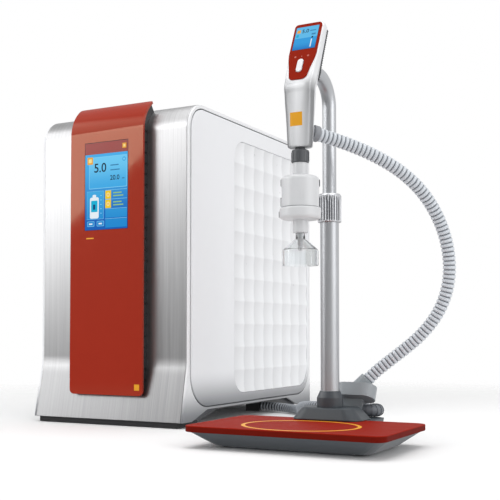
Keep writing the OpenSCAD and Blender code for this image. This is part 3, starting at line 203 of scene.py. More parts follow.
# Dispense hose: pale corrugated plastic from the stand's socket to the handset, in one free arch.
# It is a single hose; the stretch by the handset is a piece of its own.
def finish(name, colour, rough, metal=0.0, coat=0.0, shine=0.5, mottle=0.05, cloud=(55, 55, 55),
           grit=700.0, bump=0.04, crest=None, lower=None, tint=(1.0, 1.0, 1.0)):
    """A moulded, coated or metal finish: soft cloudy tone, uneven gloss and a fine grit.

    crest is a highlight colour painted where the piece's crest attribute is high, and the base colour stays
    as painted shade where it is low; lower is a colour of painted shade with the heights between which it
    fades in towards the bottom.
    """
    made, tree, shader, spot = blank_finish(name)
    drawn = spot.node("ShaderNodeMapping", {}, {"Vector": spot, "Scale": cloud})
    tone = spot.node("ShaderNodeTexNoise", {}, {"Vector": drawn, "Scale": 1.0, "Detail": 5.0})
    base = plain_colour(*colour)
    skin = tone.mixed(tuple(c * (1 - mottle) for c in base[:3]) + (1.0,),
                      tuple(min(1.0, c * (1 + mottle)) for c in base[:3]) + (1.0,))
    # Painted light: the crest colour is laid as a highlight where the crest attribute is high; hollows and
    # shaded sides keep the darker base as painted shade.
    if crest:
        raised = tone.node("ShaderNodeAttribute", {"attribute_name": "crest"}, {}, out=2)
        skin = raised.mixed(skin, plain_colour(*crest))
    # Painted shade: lower darkens the colour towards the bottom of the piece.
    if lower:
        shade, low_z, high_z = lower
        height = spot.node("ShaderNodeSeparateXYZ", {}, {0: spot}, out=2)
        skin = height.part(low_z * 0.001, high_z * 0.001).mixed(plain_colour(*shade), skin)
    tree.links.new(skin.socket, shader.inputs["Base Color"])
    tree.links.new((tone * 0.12 + (rough - 0.06)).socket, shader.inputs["Roughness"])
    fine = spot.node("ShaderNodeTexNoise", {}, {"Vector": spot, "Scale": grit, "Detail": 2.0})
    normal = fine.node("ShaderNodeBump", {}, {"Height": fine, "Strength": bump, "Distance": 0.0004})
    tree.links.new(normal.socket, shader.inputs["Normal"])
    shader.inputs["Metallic"].default_value = metal
    shader.inputs["Coat Weight"].default_value = coat
    shader.inputs["Coat Roughness"].default_value = 0.06
    shader.inputs["Specular IOR Level"].default_value = shine
    shader.inputs["Specular Tint"].default_value = tint + (1.0,)
    return made


def keep(bm, name, made, body=None, stands_for=(), sharp=38):
    """Turns a mesh drawn in millimetres into a piece that rides on a body."""
    bmesh.ops.scale(bm, vec=(0.001, 0.001, 0.001), verts=bm.verts)
    for edge in bm.edges:
        edge.smooth = edge.calc_face_angle(0.0) < math.radians(sharp)
    for face in bm.faces:
        face.smooth = True
    mesh = bpy.data.meshes.new(name)
    bm.to_mesh(mesh)
    bm.free()
    mesh.materials.append(made)
    piece = bpy.data.objects.new(name, mesh)
    scene.collection.objects.link(piece)
    if body:
        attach(piece, body)
        piece.modifiers.new("even_shading", "WEIGHTED_NORMAL").keep_sharp = True
    if stands_for:
        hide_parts(*stands_for)
    return piece


def smooth_line(points):
    """A smooth curve through the points, in eight steps from each to the next."""
    line = []
    for i in range(len(points) - 1):
        a = points[i - 1] if i else 2 * points[0] - points[1]
        b, c = points[i], points[i + 1]
        d = points[i + 2] if i + 2 < len(points) else 2 * points[-1] - points[-2]
        for k in range(8):
            t = k / 8
            line.append(0.5 * (2 * b + (c - a) * t + (2 * a - 5 * b + 4 * c - d) * t * t
                               + (3 * b - a - 3 * c + d) * t * t * t))
    return line + [points[-1]]


class Route:
    """A hose's centre line, read by the length along it."""

    def __init__(self, points, across):
        self.line = smooth_line([Vector(p) for p in points])
        self.across = Vector(across)
        self.marks = [0.0]
        for a, b in zip(self.line, self.line[1:]):
            self.marks.append(self.marks[-1] + (b - a).length)
        self.total = self.marks[-1]

    def at(self, s):
        """The point at a length along the line."""
        s = min(max(s, 0.0), self.total)
        i = max(k for k in range(len(self.marks) - 1) if self.marks[k] <= s)
        span = self.marks[i + 1] - self.marks[i]
        return self.line[i].lerp(self.line[i + 1], (s - self.marks[i]) / span)

    def stance(self, s, r):
        """Where a ring of radius r sits there, square to the line."""
        t = (self.at(s + 0.5) - self.at(s - 0.5)).normalized()
        u = self.across.cross(t).normalized()
        turn = Matrix((u, t.cross(u), t)).transposed().to_4x4()
        return Matrix.Translation(self.at(s)) @ turn @ Matrix.Diagonal((r, r, 1.0, 1.0))

    def path(self, start, stop, steps):
        """Points along the line in metres."""
        return [tuple(0.001 * self.at(start + (stop - start) * k / steps)) for k in range(steps + 1)]


RIB = [(0.0, 0.0), (0.05, 0.12), (0.12, 0.6), (0.25, 0.9), (0.48, 1.0), (0.71, 0.9), (0.84, 0.6),
       (0.93, 0.12)]


def next_ring(bm, edges, matrix):
    """Pulls a loop of edges on by a matrix and gives the new loop."""
    pulled = bmesh.ops.extrude_edge_only(bm, edges=edges)["geom"]
    verts = {g for g in pulled if isinstance(g, bmesh.types.BMVert)}
    bmesh.ops.transform(bm, matrix=matrix, verts=list(verts))
    return [g for g in pulled if isinstance(g, bmesh.types.BMEdge) and all(v in verts for v in g.verts)]


def close_up(bm):
    """Fills every open loop and turns the faces outwards."""
    bmesh.ops.holes_fill(bm, edges=[e for e in bm.edges if e.is_boundary], sides=0)
    bmesh.ops.recalc_face_normals(bm, faces=bm.faces)


def ribbed_hose(route, outer, root, ribs, start, stop, shape=RIB, sides=24):
    """Pulls a ring along the route, in and out over each rib."""
    bm = bmesh.new()
    crest = bm.verts.layers.float.new("crest")
    pitch = (stop - start) / ribs
    rings = [(start + (i + part) * pitch, root + (outer - root) * rise, rise)
             for i in range(ribs) for part, rise in shape] + [(stop, root, 0.0)]
    held = route.stance(rings[0][0], rings[0][1] / 2)
    bmesh.ops.create_circle(bm, segments=sides, radius=1.0, matrix=held)
    edges = bm.edges[:]
    for s, across, rise in rings[1:]:
        step = route.stance(s, across / 2)
        edges = next_ring(bm, edges, step @ held.inverted())
        # Each ring's rise is also the painted light mask: rib crests take the pale colour, and the grooves
        # keep the dark base as painted shade.
        for edge in edges:
            for v in edge.verts:
                v[crest] = rise
        held = step
    close_up(bm)
    return bm


pole = Vector((214.75, -183.0, 0.0))
grip_dir = Vector((0.64, 0.74, -0.2))
socket_dir = Vector((0.68, 0.25, 0.69))
hose_d, hose_root, hose_ribs, upper_ribs = 19.0, 15.2, 78, 18
arm_reach = 101.0
hose_boot = Vector((0, -arm_reach, 431)) + 27.2 * grip_dir
hose_foot = Vector((20, 52, 69)) + 24 * socket_dir
hose_points = [hose_boot, hose_boot + hose_d * grip_dir]
hose_points += [Vector(p) for p in (
    (44.9, -50.8, 416.3), (63.2, -34.5, 408.3), (81.9, -18.9, 398.1), (99.6, -3.5, 386.0),
    (115.0, 12.4, 371.8), (127.8, 28.3, 355.3), (138.1, 43.2, 336.2), (146.1, 55.8, 314.6),
    (152.0, 65.0, 290.8), (155.2, 70.8, 265.4), (155.0, 73.9, 239.3), (150.2, 75.4, 213.5),
    (140.5, 76.1, 189.2), (126.2, 75.9, 167.3), (108.5, 74.7, 147.9), (88.6, 72.0, 130.7),
    (68.1, 67.8, 114.4))]
hose_points += [hose_foot + hose_d * socket_dir, hose_foot]
hose_route = Route([p + pole for p in hose_points], (-0.6, 0.8, 0.0))
# Painted shade: the hose's base colour is dark, and only the rib crests are painted pale.
hose_plastic = finish("pale_hose", (112, 117, 124), 0.42, mottle=0.04, crest=(214, 219, 225), bump=0.02)
join = hose_route.total * upper_ribs / hose_ribs
upper = keep(ribbed_hose(hose_route, hose_d, hose_root, upper_ribs, 0.0, join), "hose_to_handset",
             hose_plastic)
lower = keep(ribbed_hose(hose_route, hose_d, hose_root, hose_ribs - upper_ribs, join, hose_route.total),
             "hose_from_stand", hose_plastic)
upper_path = hose_route.path(0.0, join, 16)
lower_path = hose_route.path(hose_route.total, join, 40)
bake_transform(upper)
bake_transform(lower)
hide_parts("dispense_hose_upper")
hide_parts("dispense_hose_lower")

# Umbilical: a darker ribbed conduit with the water line and the cable, from the boot on the stand's
# hub to a gland under the rear of the cabinet. It lies loose on the bench.
cab = Vector((-204.25, -138.0, 0.0))
half_w = 148.0
lead_d, lead_root, lead_ribs = 17.0, 13.0, 74
lead_start = Vector((32, 78.5, 39.9))
gland = cab + Vector((half_w - 36, 338, 10.5)) - pole
lead_points = [lead_start, lead_start - Vector((lead_d, 0, 0))]
lead_points += [Vector(p) for p in (
    (-4.6, 79.7, 39.9), (-26.7, 83.5, 39.7), (-50.1, 91.8, 39.2), (-72.4, 105.6, 38.2),
    (-92.2, 124.0, 36.4), (-109.0, 145.5, 33.6), (-123.1, 168.9, 29.8), (-134.9, 193.5, 25.4),
    (-145.4, 218.6, 20.9), (-155.1, 244.1, 16.8), (-164.9, 269.6, 13.4), (-175.7, 294.7, 11),
    (-188.4, 319.0, 9.6), (-204.2, 341.2, 9.1), (-223.6, 359.9, 9), (-246.0, 373.4, 9.3),
    (-269.2, 380.7, 10))]
lead_points += [gland + Vector((lead_d, 0, 0)), gland]
lead_route = Route([p + pole for p in lead_points], (0, 0, 1))
# Painted shade: the conduit's grooves are painted near black, and its rib crests grey.
lead_plastic = finish("conduit", (14, 15, 17), 0.4, mottle=0.08, crest=(156, 161, 168))
square_rib = [(0.0, 0.0), (0.2, 0.0), (0.3, 0.7), (0.4, 1.0), (0.7, 1.0), (0.8, 0.7), (0.9, 0.0)]
bm = ribbed_hose(lead_route, lead_d, lead_root, lead_ribs, 0.0, lead_route.total, square_rib)
lead = keep(bm, "umbilical", lead_plastic, "base", ["umbilical_hose"])
lead.modifiers.clear()
lead_path = lead_route.path(0.0, lead_route.total, 48)

# Steel wrap: one brushed stainless sheet that rises from a swept foot, bends over the top edge and
# runs back to the rear. The brushing follows the sheet from foot to rear.
cab_d, cab_h, foot_h, top_r, steel_t = 480.0, 536.0, 9.0, 45.0, 2.0
sweep_r, sweep_out, sweep_h = 90.0, 19.0, 105.0
sweep_span = math.hypot(sweep_r - sweep_out, sweep_h)
sweep_a = math.atan2(sweep_h, sweep_r - sweep_out) - math.acos(sweep_r / sweep_span)


def sweep_point(a, inset):
    """A point of the swept foot, set in from the sheet's outer face."""
    r = sweep_r + inset
    return (r * math.cos(a) - sweep_r, foot_h + sweep_h - r * math.sin(a))


def arc(centre, r, start, stop, steps):
    """Points along an arc, with its angles in degrees."""
    turns = [math.radians(start + (stop - start) * k / steps) for k in range(steps + 1)]
    return [(centre[0] + r * math.cos(t), centre[1] + r * math.sin(t)) for t in turns]


def steel_line(inset):
    """Side view of the sheet from its foot to its rear edge, as (y, z)."""
    y, z = sweep_point(sweep_a, inset)
    foot = (y - (z - foot_h) * math.tan(sweep_a), foot_h)
    bend = [sweep_point(sweep_a * (1 - k / 8), inset) for k in range(9)]
    return [foot] + bend + arc((top_r, cab_h - top_r), top_r - inset, 180, 90, 28) + [(cab_d, cab_h - inset)]


def side_strip(bm, line, x, width):
    """A sheet drawn as a side view and pulled across the width."""
    verts = [bm.verts.new((x, cab.y + y, z)) for y, z in line]
    edges = [bm.edges.new(pair) for pair in zip(verts, verts[1:])]
    return next_ring(bm, edges, Matrix.Translation((width, 0, 0)))


def face_out(bm, way):
    """Turns an open sheet so that its first face looks along way."""
    bm.faces.ensure_lookup_table()
    bm.normal_update()
    if bm.faces[0].normal.dot(Vector(way)) < 0:
        bmesh.ops.reverse_faces(bm, faces=bm.faces)


def thicken(piece, depth, edge, segments=2):
    """Gives a sheet its thickness, inwards, and softens its cut edges."""
    piece.modifiers.clear()
    wall = piece.modifiers.new("thickness", "SOLIDIFY")
    wall.thickness = depth * 0.001
    wall.offset = -1.0
    round_off = piece.modifiers.new("edges", "BEVEL")
    round_off.width = edge * 0.001
    round_off.segments = segments
    round_off.limit_method = "ANGLE"
    round_off.angle_limit = math.radians(50)
    piece.modifiers.new("even_shading", "WEIGHTED_NORMAL").keep_sharp = True


def brushed_steel():
    """Fine hair lines over wider bands, painted darker below the crease of the foot as shade."""
    made, tree, shader, spot = blank_finish("brushed_stainless")
    thin = spot.node("ShaderNodeMapping", {}, {"Vector": spot, "Scale": (2100, 9, 9)})
    wide = spot.node("ShaderNodeMapping", {}, {"Vector": spot, "Scale": (240, 2, 2)})
    hair = spot.node("ShaderNodeTexNoise", {}, {"Vector": thin, "Scale": 1.0, "Detail": 3.0})
    band = spot.node("ShaderNodeTexNoise", {}, {"Vector": wide, "Scale": 1.0, "Detail": 3.0})
    tone = hair * 0.65 + band * 0.35
    foot = tone.mixed(plain_colour(122, 122, 123), plain_colour(182, 182, 183))
    skin = tone.mixed(plain_colour(154, 154, 155), plain_colour(220, 220, 221))
    height = spot.node("ShaderNodeSeparateXYZ", {}, {0: spot}, out=2)
    # Painted shade: the steel below the crease of the foot takes the darker foot colour.
    crease_low, crease_high = 0.082, 0.112
    skin = height.part(crease_low, crease_high).mixed(foot, skin)
    tree.links.new(skin.socket, shader.inputs["Base Color"])
    tree.links.new((tone * 0.16 + 0.28).socket, shader.inputs["Roughness"])
    normal = hair.node("ShaderNodeBump", {}, {"Height": hair, "Strength": 0.08, "Distance": 0.0002})
    tree.links.new(normal.socket, shader.inputs["Normal"])
    shader.inputs["Metallic"].default_value = 1.0
    return made


bm = bmesh.new()
side_strip(bm, steel_line(0.0), cab.x - half_w, 2 * half_w)
face_out(bm, (0, -1, 0.1))
wrap = keep(bm, "steel_wrap", brushed_steel(), "base", ["front_panel"])
thicken(wrap, steel_t, 0.7, 3)

# Side frames: grey moulded ends that plug the wrap. Their rim borders the white cover on a dark
# strip that stands in as painted shade for the gap, and their lower edge is arched so that the
# cabinet stands on its front and rear.
cover_low, cover_high, cover_low_r, cover_high_r = (5.0, 30.0), (475.0, 529.0), 57.0, 40.0
cover_gap, rim_out, gap_shade_out = 1.6, 4.5, 3.2
arch_front, arch_rear, arch_h = (11, 61), (370, 420), 26
both_sides = ((1, "right"), (-1, "left"))


def round_rect(low, high, low_r, high_r, grow=0.0, steps=10):
    """A rounded outline, made larger all round by grow."""
    (y0, z0), (y1, z1) = low, high
    low_in, high_in = low_r, high_r
    low_r, high_r = low_r + grow, high_r + grow
    return (arc((y1 - high_in, z1 - high_in), high_r, 0, 90, steps)
            + arc((y0 + high_in, z1 - high_in), high_r, 90, 180, steps)
            + arc((y0 + low_in, z0 + low_in), low_r, 180, 270, steps)
            + arc((y1 - low_in, z0 + low_in), low_r, 270, 360, steps))


def cover_line(grow):
    """The side cover's outline, made larger all round by grow."""
    return round_rect(cover_low, cover_high, cover_low_r, cover_high_r, grow)


def ring(bm, line, x):
    """A closed loop in a plane across the cabinet."""
    verts = [bm.verts.new((x, cab.y + y, z)) for y, z in line]
    return [bm.edges.new((a, b)) for a, b in zip(verts, verts[1:] + verts[:1])]


def pulled_back(bm, edges, x):
    """Pulls a loop straight back to a plane across the cabinet."""
    edges = next_ring(bm, edges, Matrix.Identity(4))
    for edge in edges:
        for v in edge.verts:
            v.co.x = x
    return edges


def soften(bm, width, segments=3, angle=40):
    """Bevels the edges that turn by more than angle."""
    bm.normal_update()
    edges = [e for e in bm.edges if e.is_manifold and e.calc_face_angle(0.0) > math.radians(angle)]
    bmesh.ops.bevel(bm, geom=edges, offset=width, segments=segments, profile=0.5, affect="EDGES",
                    material=-1, clamp_overlap=True)


# Painted shade: the grey rim darkens towards the bench through its lower colour.
frame_plastic = finish("frame_grey", (234, 235, 237), 0.35, mottle=0.02, lower=((112, 114, 118), 8, 70))
# Painted shade: a dark strip between rim and cover stands in for the shade in the gap.
gap_shade = finish("gap_shade_strip", (62, 64, 68), 0.6, mottle=0.08)
outline = steel_line(0.6) + [(cab_d, foot_h), (arch_rear[1], foot_h), (arch_rear[0], arch_h),
                             (arch_front[1], arch_h), (arch_front[0], foot_h)]
for side, word in both_sides:
    bm = bmesh.new()
    face, pocket = cab.x + side * (half_w + rim_out), cab.x + side * half_w
    rim, mouth = ring(bm, outline, face), ring(bm, cover_line(0.4), face)
    bmesh.ops.triangle_fill(bm, edges=rim + mouth, use_beauty=True)
    for edges, x in ((rim, pocket + side * 0.05), (mouth, pocket + side * 0.1)):
        bmesh.ops.triangle_fill(bm, edges=pulled_back(bm, edges, x), use_beauty=True)
    bmesh.ops.recalc_face_normals(bm, faces=bm.faces)
    bmesh.ops.dissolve_limit(bm, angle_limit=math.radians(0.3), verts=bm.verts, edges=bm.edges)
    soften(bm, 0.7, 2)
    keep(bm, "side_rim_" + word, frame_plastic, "base", ["side_frame_" + word])
    bm = bmesh.new()
    outer, inner = (ring(bm, cover_line(grow), cab.x + side * (half_w + gap_shade_out))
                    for grow in (0.3, -cover_gap - 2))
    bmesh.ops.bridge_loops(bm, edges=outer + inner)
    for edges in (outer, inner):
        pulled_back(bm, edges, pocket + side * 0.3)
    bmesh.ops.recalc_face_normals(bm, faces=bm.faces)
    keep(bm, "cover_seal_" + word, gap_shade, "base", [])

# Side covers: gloss white mouldings that snap into the rims, with soft edges and a shallow pocket.
# Their colour is painted grey towards the bench as shade, where the sweep no longer lights them.
cover_plastic = finish("cover_white", (234, 235, 238), 0.2, coat=0.3, mottle=0.01, bump=0.01,
                       lower=((116, 118, 122), 24, 92))
cover_out, pocket_out, back_out = 5.5, 1.5, 0.1
insert_low, insert_high, insert_r = (153.0, 47.0), (465.0, 499.0), 36.0
for side, word in both_sides:
    bm = bmesh.new()
    face, floor_x, back = (cab.x + side * (half_w + t) for t in (cover_out, pocket_out, back_out))
    rim = ring(bm, cover_line(-cover_gap), face)
    mouth = ring(bm, round_rect(insert_low, insert_high, insert_r, insert_r), face)
    bmesh.ops.bridge_loops(bm, edges=rim + mouth)
    bmesh.ops.edgeloop_fill(bm, edges=pulled_back(bm, rim, back))
    bmesh.ops.edgeloop_fill(bm, edges=pulled_back(bm, mouth, floor_x))
    bmesh.ops.recalc_face_normals(bm, faces=bm.faces)
    soften(bm, 1.4, 4)
    keep(bm, "side_cover_shell_" + word, cover_plastic, "base", ["side_cover_" + word])

# Side inserts: satin white panels let into the covers, pressed into a grid of shallow scoops that
# meet in fine ridges.
insert_plastic = finish("insert_white", (212, 213, 216), 0.3, mottle=0.015, bump=0.03, crest=(244, 245, 247))
scoops_across, scoops_up, scoop_r, insert_gap = 8, 11, 125.0, 0.4
insert_out, insert_back = 5.0, 1.6
cell_y = (insert_high[0] - insert_low[0]) / scoops_across
cell_z = (insert_high[1] - insert_low[1]) / scoops_up
ridge = ((cell_y / 2) ** 2 + (cell_z / 2) ** 2) / (2 * scoop_r)
for side, word in both_sides:
    bm = bmesh.new()
    crest = bm.verts.layers.float.new("crest")
    bmesh.ops.create_grid(bm, x_segments=160, y_segments=220, size=0.5)
    corner = insert_r - insert_gap
    z0, z1 = insert_low[1] + insert_gap, insert_high[1] - insert_gap
    for v in bm.verts:
        z = z0 + (v.co.y + 0.5) * (z1 - z0)
        into = max(0.0, corner - min(z - z0, z1 - z))
        draw = corner - math.sqrt(max(0.0, corner * corner - into * into))
        y0, y1 = insert_low[0] + insert_gap + draw, insert_high[0] - insert_gap - draw
        y = y0 + (v.co.x + 0.5) * (y1 - y0)
        dy = (y - insert_low[0]) % cell_y - cell_y / 2
        dz = (z - insert_low[1]) % cell_z - cell_z / 2
        rise = (dy * dy + dz * dz) / (2 * scoop_r) - ridge
        # Painted light and shade on top of the real scoops: each cell is lighter towards its rear and lower
        # side, and darker towards its front and upper side.
        v[crest] = 0.6 + 0.4 * (1.6 * dy / cell_y - 0.5 * dz / cell_z)
        v.co = (cab.x + side * (half_w + insert_out + rise), cab.y + y, z)
    pulled_back(bm, [e for e in bm.edges if e.is_boundary], cab.x + side * (half_w + insert_back))
    close_up(bm)
    keep(bm, "scooped_insert_" + word, insert_plastic, "base", ["side_insert_" + word],
         sharp=60)


# Base, feet and rear: a dark pressed chassis on a full-width rubber strip and two rear feet, and a
# coated rear sheet with its fittings. Their solids already have the right shape.
def dress(made, edge, *names):
    """Puts a finish on CAD pieces and softens their edges."""
    for name in names:
        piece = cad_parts[name]
        piece.data.materials.clear()
        piece.data.materials.append(made)
        if edge:
            joined = piece.modifiers.new("joined", "WELD")
            joined.merge_threshold = 0.00001
            flat = piece.modifiers.new("flat", "DECIMATE")
            flat.decimate_type = "DISSOLVE"
            flat.angle_limit = math.radians(1)
            round_off = piece.modifiers.new("edges", "BEVEL")
            round_off.width = edge * 0.001
            round_off.segments = 2
            round_off.limit_method = "ANGLE"
            round_off.angle_limit = math.radians(40)


chassis_paint = finish("chassis_paint", (58, 60, 64), 0.5, mottle=0.1, grit=1200, bump=0.15)
rubber = finish("black_rubber", (34, 34, 36), 0.75, mottle=0.12, grit=1500, bump=0.2)
rear_paint = finish("rear_coat", (186, 187, 190), 0.5, mottle=0.03, grit=1400, bump=0.25)
fitting_plastic = finish("fitting_white", (222, 222, 218), 0.4)
black_plastic = finish("black_plastic", (28, 28, 30), 0.45, mottle=0.1, grit=1100, bump=0.12)
rocker_plastic = finish("rocker_red", (150, 28, 24), 0.3, coat=0.2)
dress(chassis_paint, 1.0, "base_chassis")
dress(rubber, 1.0, "front_strip", "rubber_feet")
dress(rear_paint, 0.4, "rear_panel")
dress(fitting_plastic, 0.5, "water_fittings")
dress(black_plastic, 0.6, "power_inlet", "switch_frame", "umbilical_gland")
dress(rocker_plastic, 0.5, "power_rocker")

# Fascia: a gloss red acrylic sheet with a printed back, bent over the top edge and held off the
# steel by a black toothed frame.
fascia_red = finish("gloss_red", (157, 46, 31), 0.06, shine=0.45, mottle=0.03, grit=300, bump=0.004,
                    tint=(1.0, 0.84, 0.56))
fascia_half, fascia_out, fascia_t, fascia_low = 75.0, 19.0, 4.0, 50.0
window_half, screen_mid, window_h = 45.0, 403.0, 150.0
sill, head = screen_mid - window_h / 2, screen_mid + window_h / 2
line = [(-fascia_out, z) for z in (fascia_low, 80.0, 200.0, sill, head)]
line += arc((top_r, cab_h - top_r), top_r + fascia_out, 180, 123, 24)


def round_corners(bm, verts, r, segments):
    """Rounds the corners of a flat sheet."""
    bmesh.ops.bevel(bm, geom=verts, offset=r, segments=segments, profile=0.5, affect="VERTICES", material=-1)


bm = bmesh.new()
edges = side_strip(bm, line, cab.x - fascia_half, fascia_half - window_half)
for width in (2 * window_half, fascia_half - window_half):
    edges = next_ring(bm, edges, Matrix.Translation((width, 0, 0)))
bmesh.ops.delete(bm, geom=[f for f in bm.faces if abs(f.calc_center_median().x - cab.x) < 5
                           and sill < f.calc_center_median().z < head], context="FACES")
corners = [v for v in bm.verts if abs(abs(v.co.x - cab.x) - fascia_half) < 0.1
           and (v.co.z < fascia_low + 1 or len(v.link_edges) == 2)]
round_corners(bm, corners, 8.0, 6)
bmesh.ops.recalc_face_normals(bm, faces=bm.faces)
face_out(bm, (0, -1, 0.1))
thicken(keep(bm, "fascia_sheet", fascia_red, "base", ["fascia_cover"]), fascia_t, 0.5)
dress(black_plastic, 0.0, "fascia_frame", "display_module")

# Display: a glass-fronted panel in the fascia's window. The picture is lit from behind: pale blue
# read-out with figures, a cartridge gauge, status rows and two soft keys.
screen_w, screen_h, screen_front = 88.0, 148.0, cab.y - fascia_out
glass_t, glass_lap = 3.8, 1.6


def lit_finish(name, colour, glow=0.95, fall=None):
    """A lit part of the picture; fall gives a second colour towards its lower end."""
    made = finish(name, (10, 12, 16), 0.2, shine=0.03, mottle=0.0, bump=0.0)
    tree = made.node_tree
    shader = tree.nodes["Principled BSDF"]
    shader.inputs["Emission Strength"].default_value = glow
    shader.inputs["Emission Color"].default_value = plain_colour(*colour)
    if fall:
        shade, low_z, high_z = fall
        spot = Tone(tree, tree.nodes.new("ShaderNodeTexCoord").outputs["Object"])
        height = spot.node("ShaderNodeSeparateXYZ", {}, {0: spot}, out=2)
        blend = height.part(low_z * 0.001, high_z * 0.001).mixed(plain_colour(*shade), plain_colour(*colour))
        tree.links.new(blend.socket, shader.inputs["Emission Color"])
    return made


def on_screen(x, down, lift):
    """A place on the picture, from its upper left corner."""
    return Vector((cab.x - screen_w / 2 + x, screen_front - lift, screen_mid + screen_h / 2 - down))


def pulled_in(bm, vec):
    """Gives a flat part of a picture a little depth."""
    pulled = bmesh.ops.extrude_face_region(bm, geom=bm.faces[:])["geom"]
    bmesh.ops.translate(bm, verts=[g for g in pulled if isinstance(g, bmesh.types.BMVert)], vec=vec)
    bmesh.ops.recalc_face_normals(bm, faces=bm.faces)


def patch(name, x0, z0, x1, z1, lift, made, round_by=0.0):
    """A flat part of the picture, placed from the screen's upper left corner."""
    bm = bmesh.new()
    verts = [bm.verts.new(on_screen(x, z, lift)) for x, z in ((x0, z0), (x0, z1), (x1, z1), (x1, z0))]
    bm.faces.new(verts)
    if round_by:
        round_corners(bm, verts, round_by, 4)
    pulled_in(bm, (0, 0.1, 0))
    keep(bm, name, made, "base", [])


def figures(name, text, size, place, made, body):
    """Numbers drawn from a font, made a mesh and laid on a picture."""
    curve = bpy.data.curves.new(name, "FONT")
    curve.body = text
    curve.size = size
    curve.offset = 0.012 * size
    draft = bpy.data.objects.new(name + "_draft", curve)
    scene.collection.objects.link(draft)
    bpy.context.view_layer.update()
    mesh = bpy.data.meshes.new_from_object(draft.evaluated_get(bpy.context.evaluated_depsgraph_get()))
    bpy.data.objects.remove(draft)
    bm = bmesh.new()
    bm.from_mesh(mesh)
    bpy.data.meshes.remove(mesh)
    for v in bm.verts:
        v.co = place(v.co.x, v.co.y)
    keep(bm, name, made, body, [])


glass_black = finish("screen_surround", (24, 26, 32), 0.1, shine=0.3, mottle=0.02, bump=0.0)
picture_blue = lit_finish("picture_blue", (72, 176, 236), fall=((22, 98, 186), 332, 452))
picture_pale = lit_finish("picture_pale", (112, 204, 246), fall=((64, 170, 230), 396, 450))
picture_row = lit_finish("picture_row", (66, 172, 228), fall=((34, 138, 210), 332, 400))
picture_line = lit_finish("picture_line", (132, 210, 246))
picture_ink = finish("picture_ink", (34, 46, 58), 0.3, shine=0.03)
picture_note = lit_finish("picture_note", (62, 132, 178))
picture_orange = lit_finish("picture_orange", (236, 168, 62))
picture_cream = lit_finish("picture_cream", (250, 226, 150))
picture_yellow = lit_finish("picture_yellow", (240, 204, 40))
picture_text = lit_finish("picture_text", (150, 196, 132))
picture_cyan = lit_finish("picture_cyan", (20, 176, 214))
picture_white = lit_finish("picture_white", (232, 242, 248))
picture_dark = lit_finish("picture_dark", (14, 70, 120))
header_red = finish("header_red", (140, 26, 14), 0.15, shine=0.25, mottle=0.03)
bm = bmesh.new()
glass = Matrix.Translation((cab.x, screen_front + glass_t / 2, screen_mid))
glass = glass @ Matrix.Diagonal((screen_w + glass_lap, glass_t, screen_h + glass_lap, 1.0))
bmesh.ops.create_cube(bm, size=1.0, matrix=glass)
soften(bm, 0.4, 2)
keep(bm, "screen_glass", glass_black, "base", ["display_lens"])
patch("header", 0, 0, 88, 19.5, 0.1, header_red)
patch("picture", 0, 19.5, 88, 148.4, 0.1, picture_blue)
patch("read_out_border", 8.2, 24.5, 87, 78.5, 0.2, picture_line, 1.5)
patch("read_out", 9.2, 25.5, 86, 77.5, 0.3, picture_pale, 1.2)
patch("grade_square", 4.9, 24, 16.5, 36.5, 0.45, picture_orange, 0.8)
patch("grade_square_core", 7.4, 27, 14, 33.5, 0.55, picture_cream, 1.5)
patch("header_square", 77.5, 5, 85.5, 13.5, 0.45, picture_orange, 0.5)
patch("header_square_core", 79.5, 7, 83.5, 11.5, 0.55, picture_cream, 1.0)
figures("reading", "5.0", 21.5, lambda x, y: on_screen(18.6 + x, 50.5 - y, 0.45), picture_ink, "base")
figures("temperature", "20.0", 11.4, lambda x, y: on_screen(52.3 + x, 65.5 - y, 0.45), picture_ink, "base")
for i, (x, z, w) in enumerate(((53, 39.5, 17), (53, 47.5, 19), (77, 63, 5))):
    patch("unit_line_%d" % i, x, z, x + w, z + 2.0, 0.45, picture_note)
patch("clock_mark", 77.5, 28, 84.5, 35.5, 0.45, picture_row, 3.4)
patch("clock_face", 79.3, 29.9, 82.7, 33.6, 0.55, picture_line, 1.6)
patch("gauge_border", 4.0, 82.5, 39, 130.5, 0.2, picture_line)
patch("gauge_panel", 4.5, 83, 38.5, 130, 0.25, picture_row)
patch("gauge_tube", 10.5, 93, 29, 129, 0.35, picture_white, 3.0)
patch("gauge_neck", 16, 88.5, 23.5, 94, 0.4, picture_white, 2.0)
patch("gauge_water", 13, 98.5, 26.5, 118, 0.45, picture_cyan, 1.0)
patch("gauge_core", 17.2, 105, 21.8, 114, 0.55, picture_dark, 1.5)
for i in range(5):
    patch("gauge_mark_%d" % i, 32, 90 + 7.5 * i, 35.2, 91.1 + 7.5 * i, 0.35, picture_line)
for i, z in enumerate((83, 98.5)):
    patch("status_icon_%d" % i, 42.5, z, 54.5, z + 14.2, 0.3, picture_yellow, 0.6)
    patch("status_ring_%d" % i, 45.4, z + 3.4, 51.6, z + 10.8, 0.4, picture_cream, 2.8)
    patch("status_mark_%d" % i, 47.4, z + 5.4, 49.6, z + 8.8, 0.5, picture_orange, 0.9)
    for k in range(2):
        patch("status_line_%d_%d" % (i, k), 59, z + 3.6 + 5 * k, 76 + 3.5 * k, z + 5.6 + 5 * k, 0.3,
              picture_text)
for i, z in enumerate((82, 97.6, 113.6, 130.3)):
    patch("row_line_%d" % i, 42.5, z, 87, z + 0.7, 0.35, picture_line)
for i, z in enumerate((115, 131.6)):
    patch("row_%d" % i, 42.9, z, 87, z + 14, 0.25, picture_row)
for i, x in enumerate((4.9, 25)):
    patch("soft_key_%d" % i, x, 133.6, x + 15, 142.6, 0.3, picture_line, 1.5)
    patch("soft_key_face_%d" % i, x + 0.7, 134.3, x + 14.3, 141.9, 0.4, picture_row, 1.2)
    patch("soft_key_word_%d" % i, x + 4, 137, x + 11, 139.4, 0.5, picture_white)
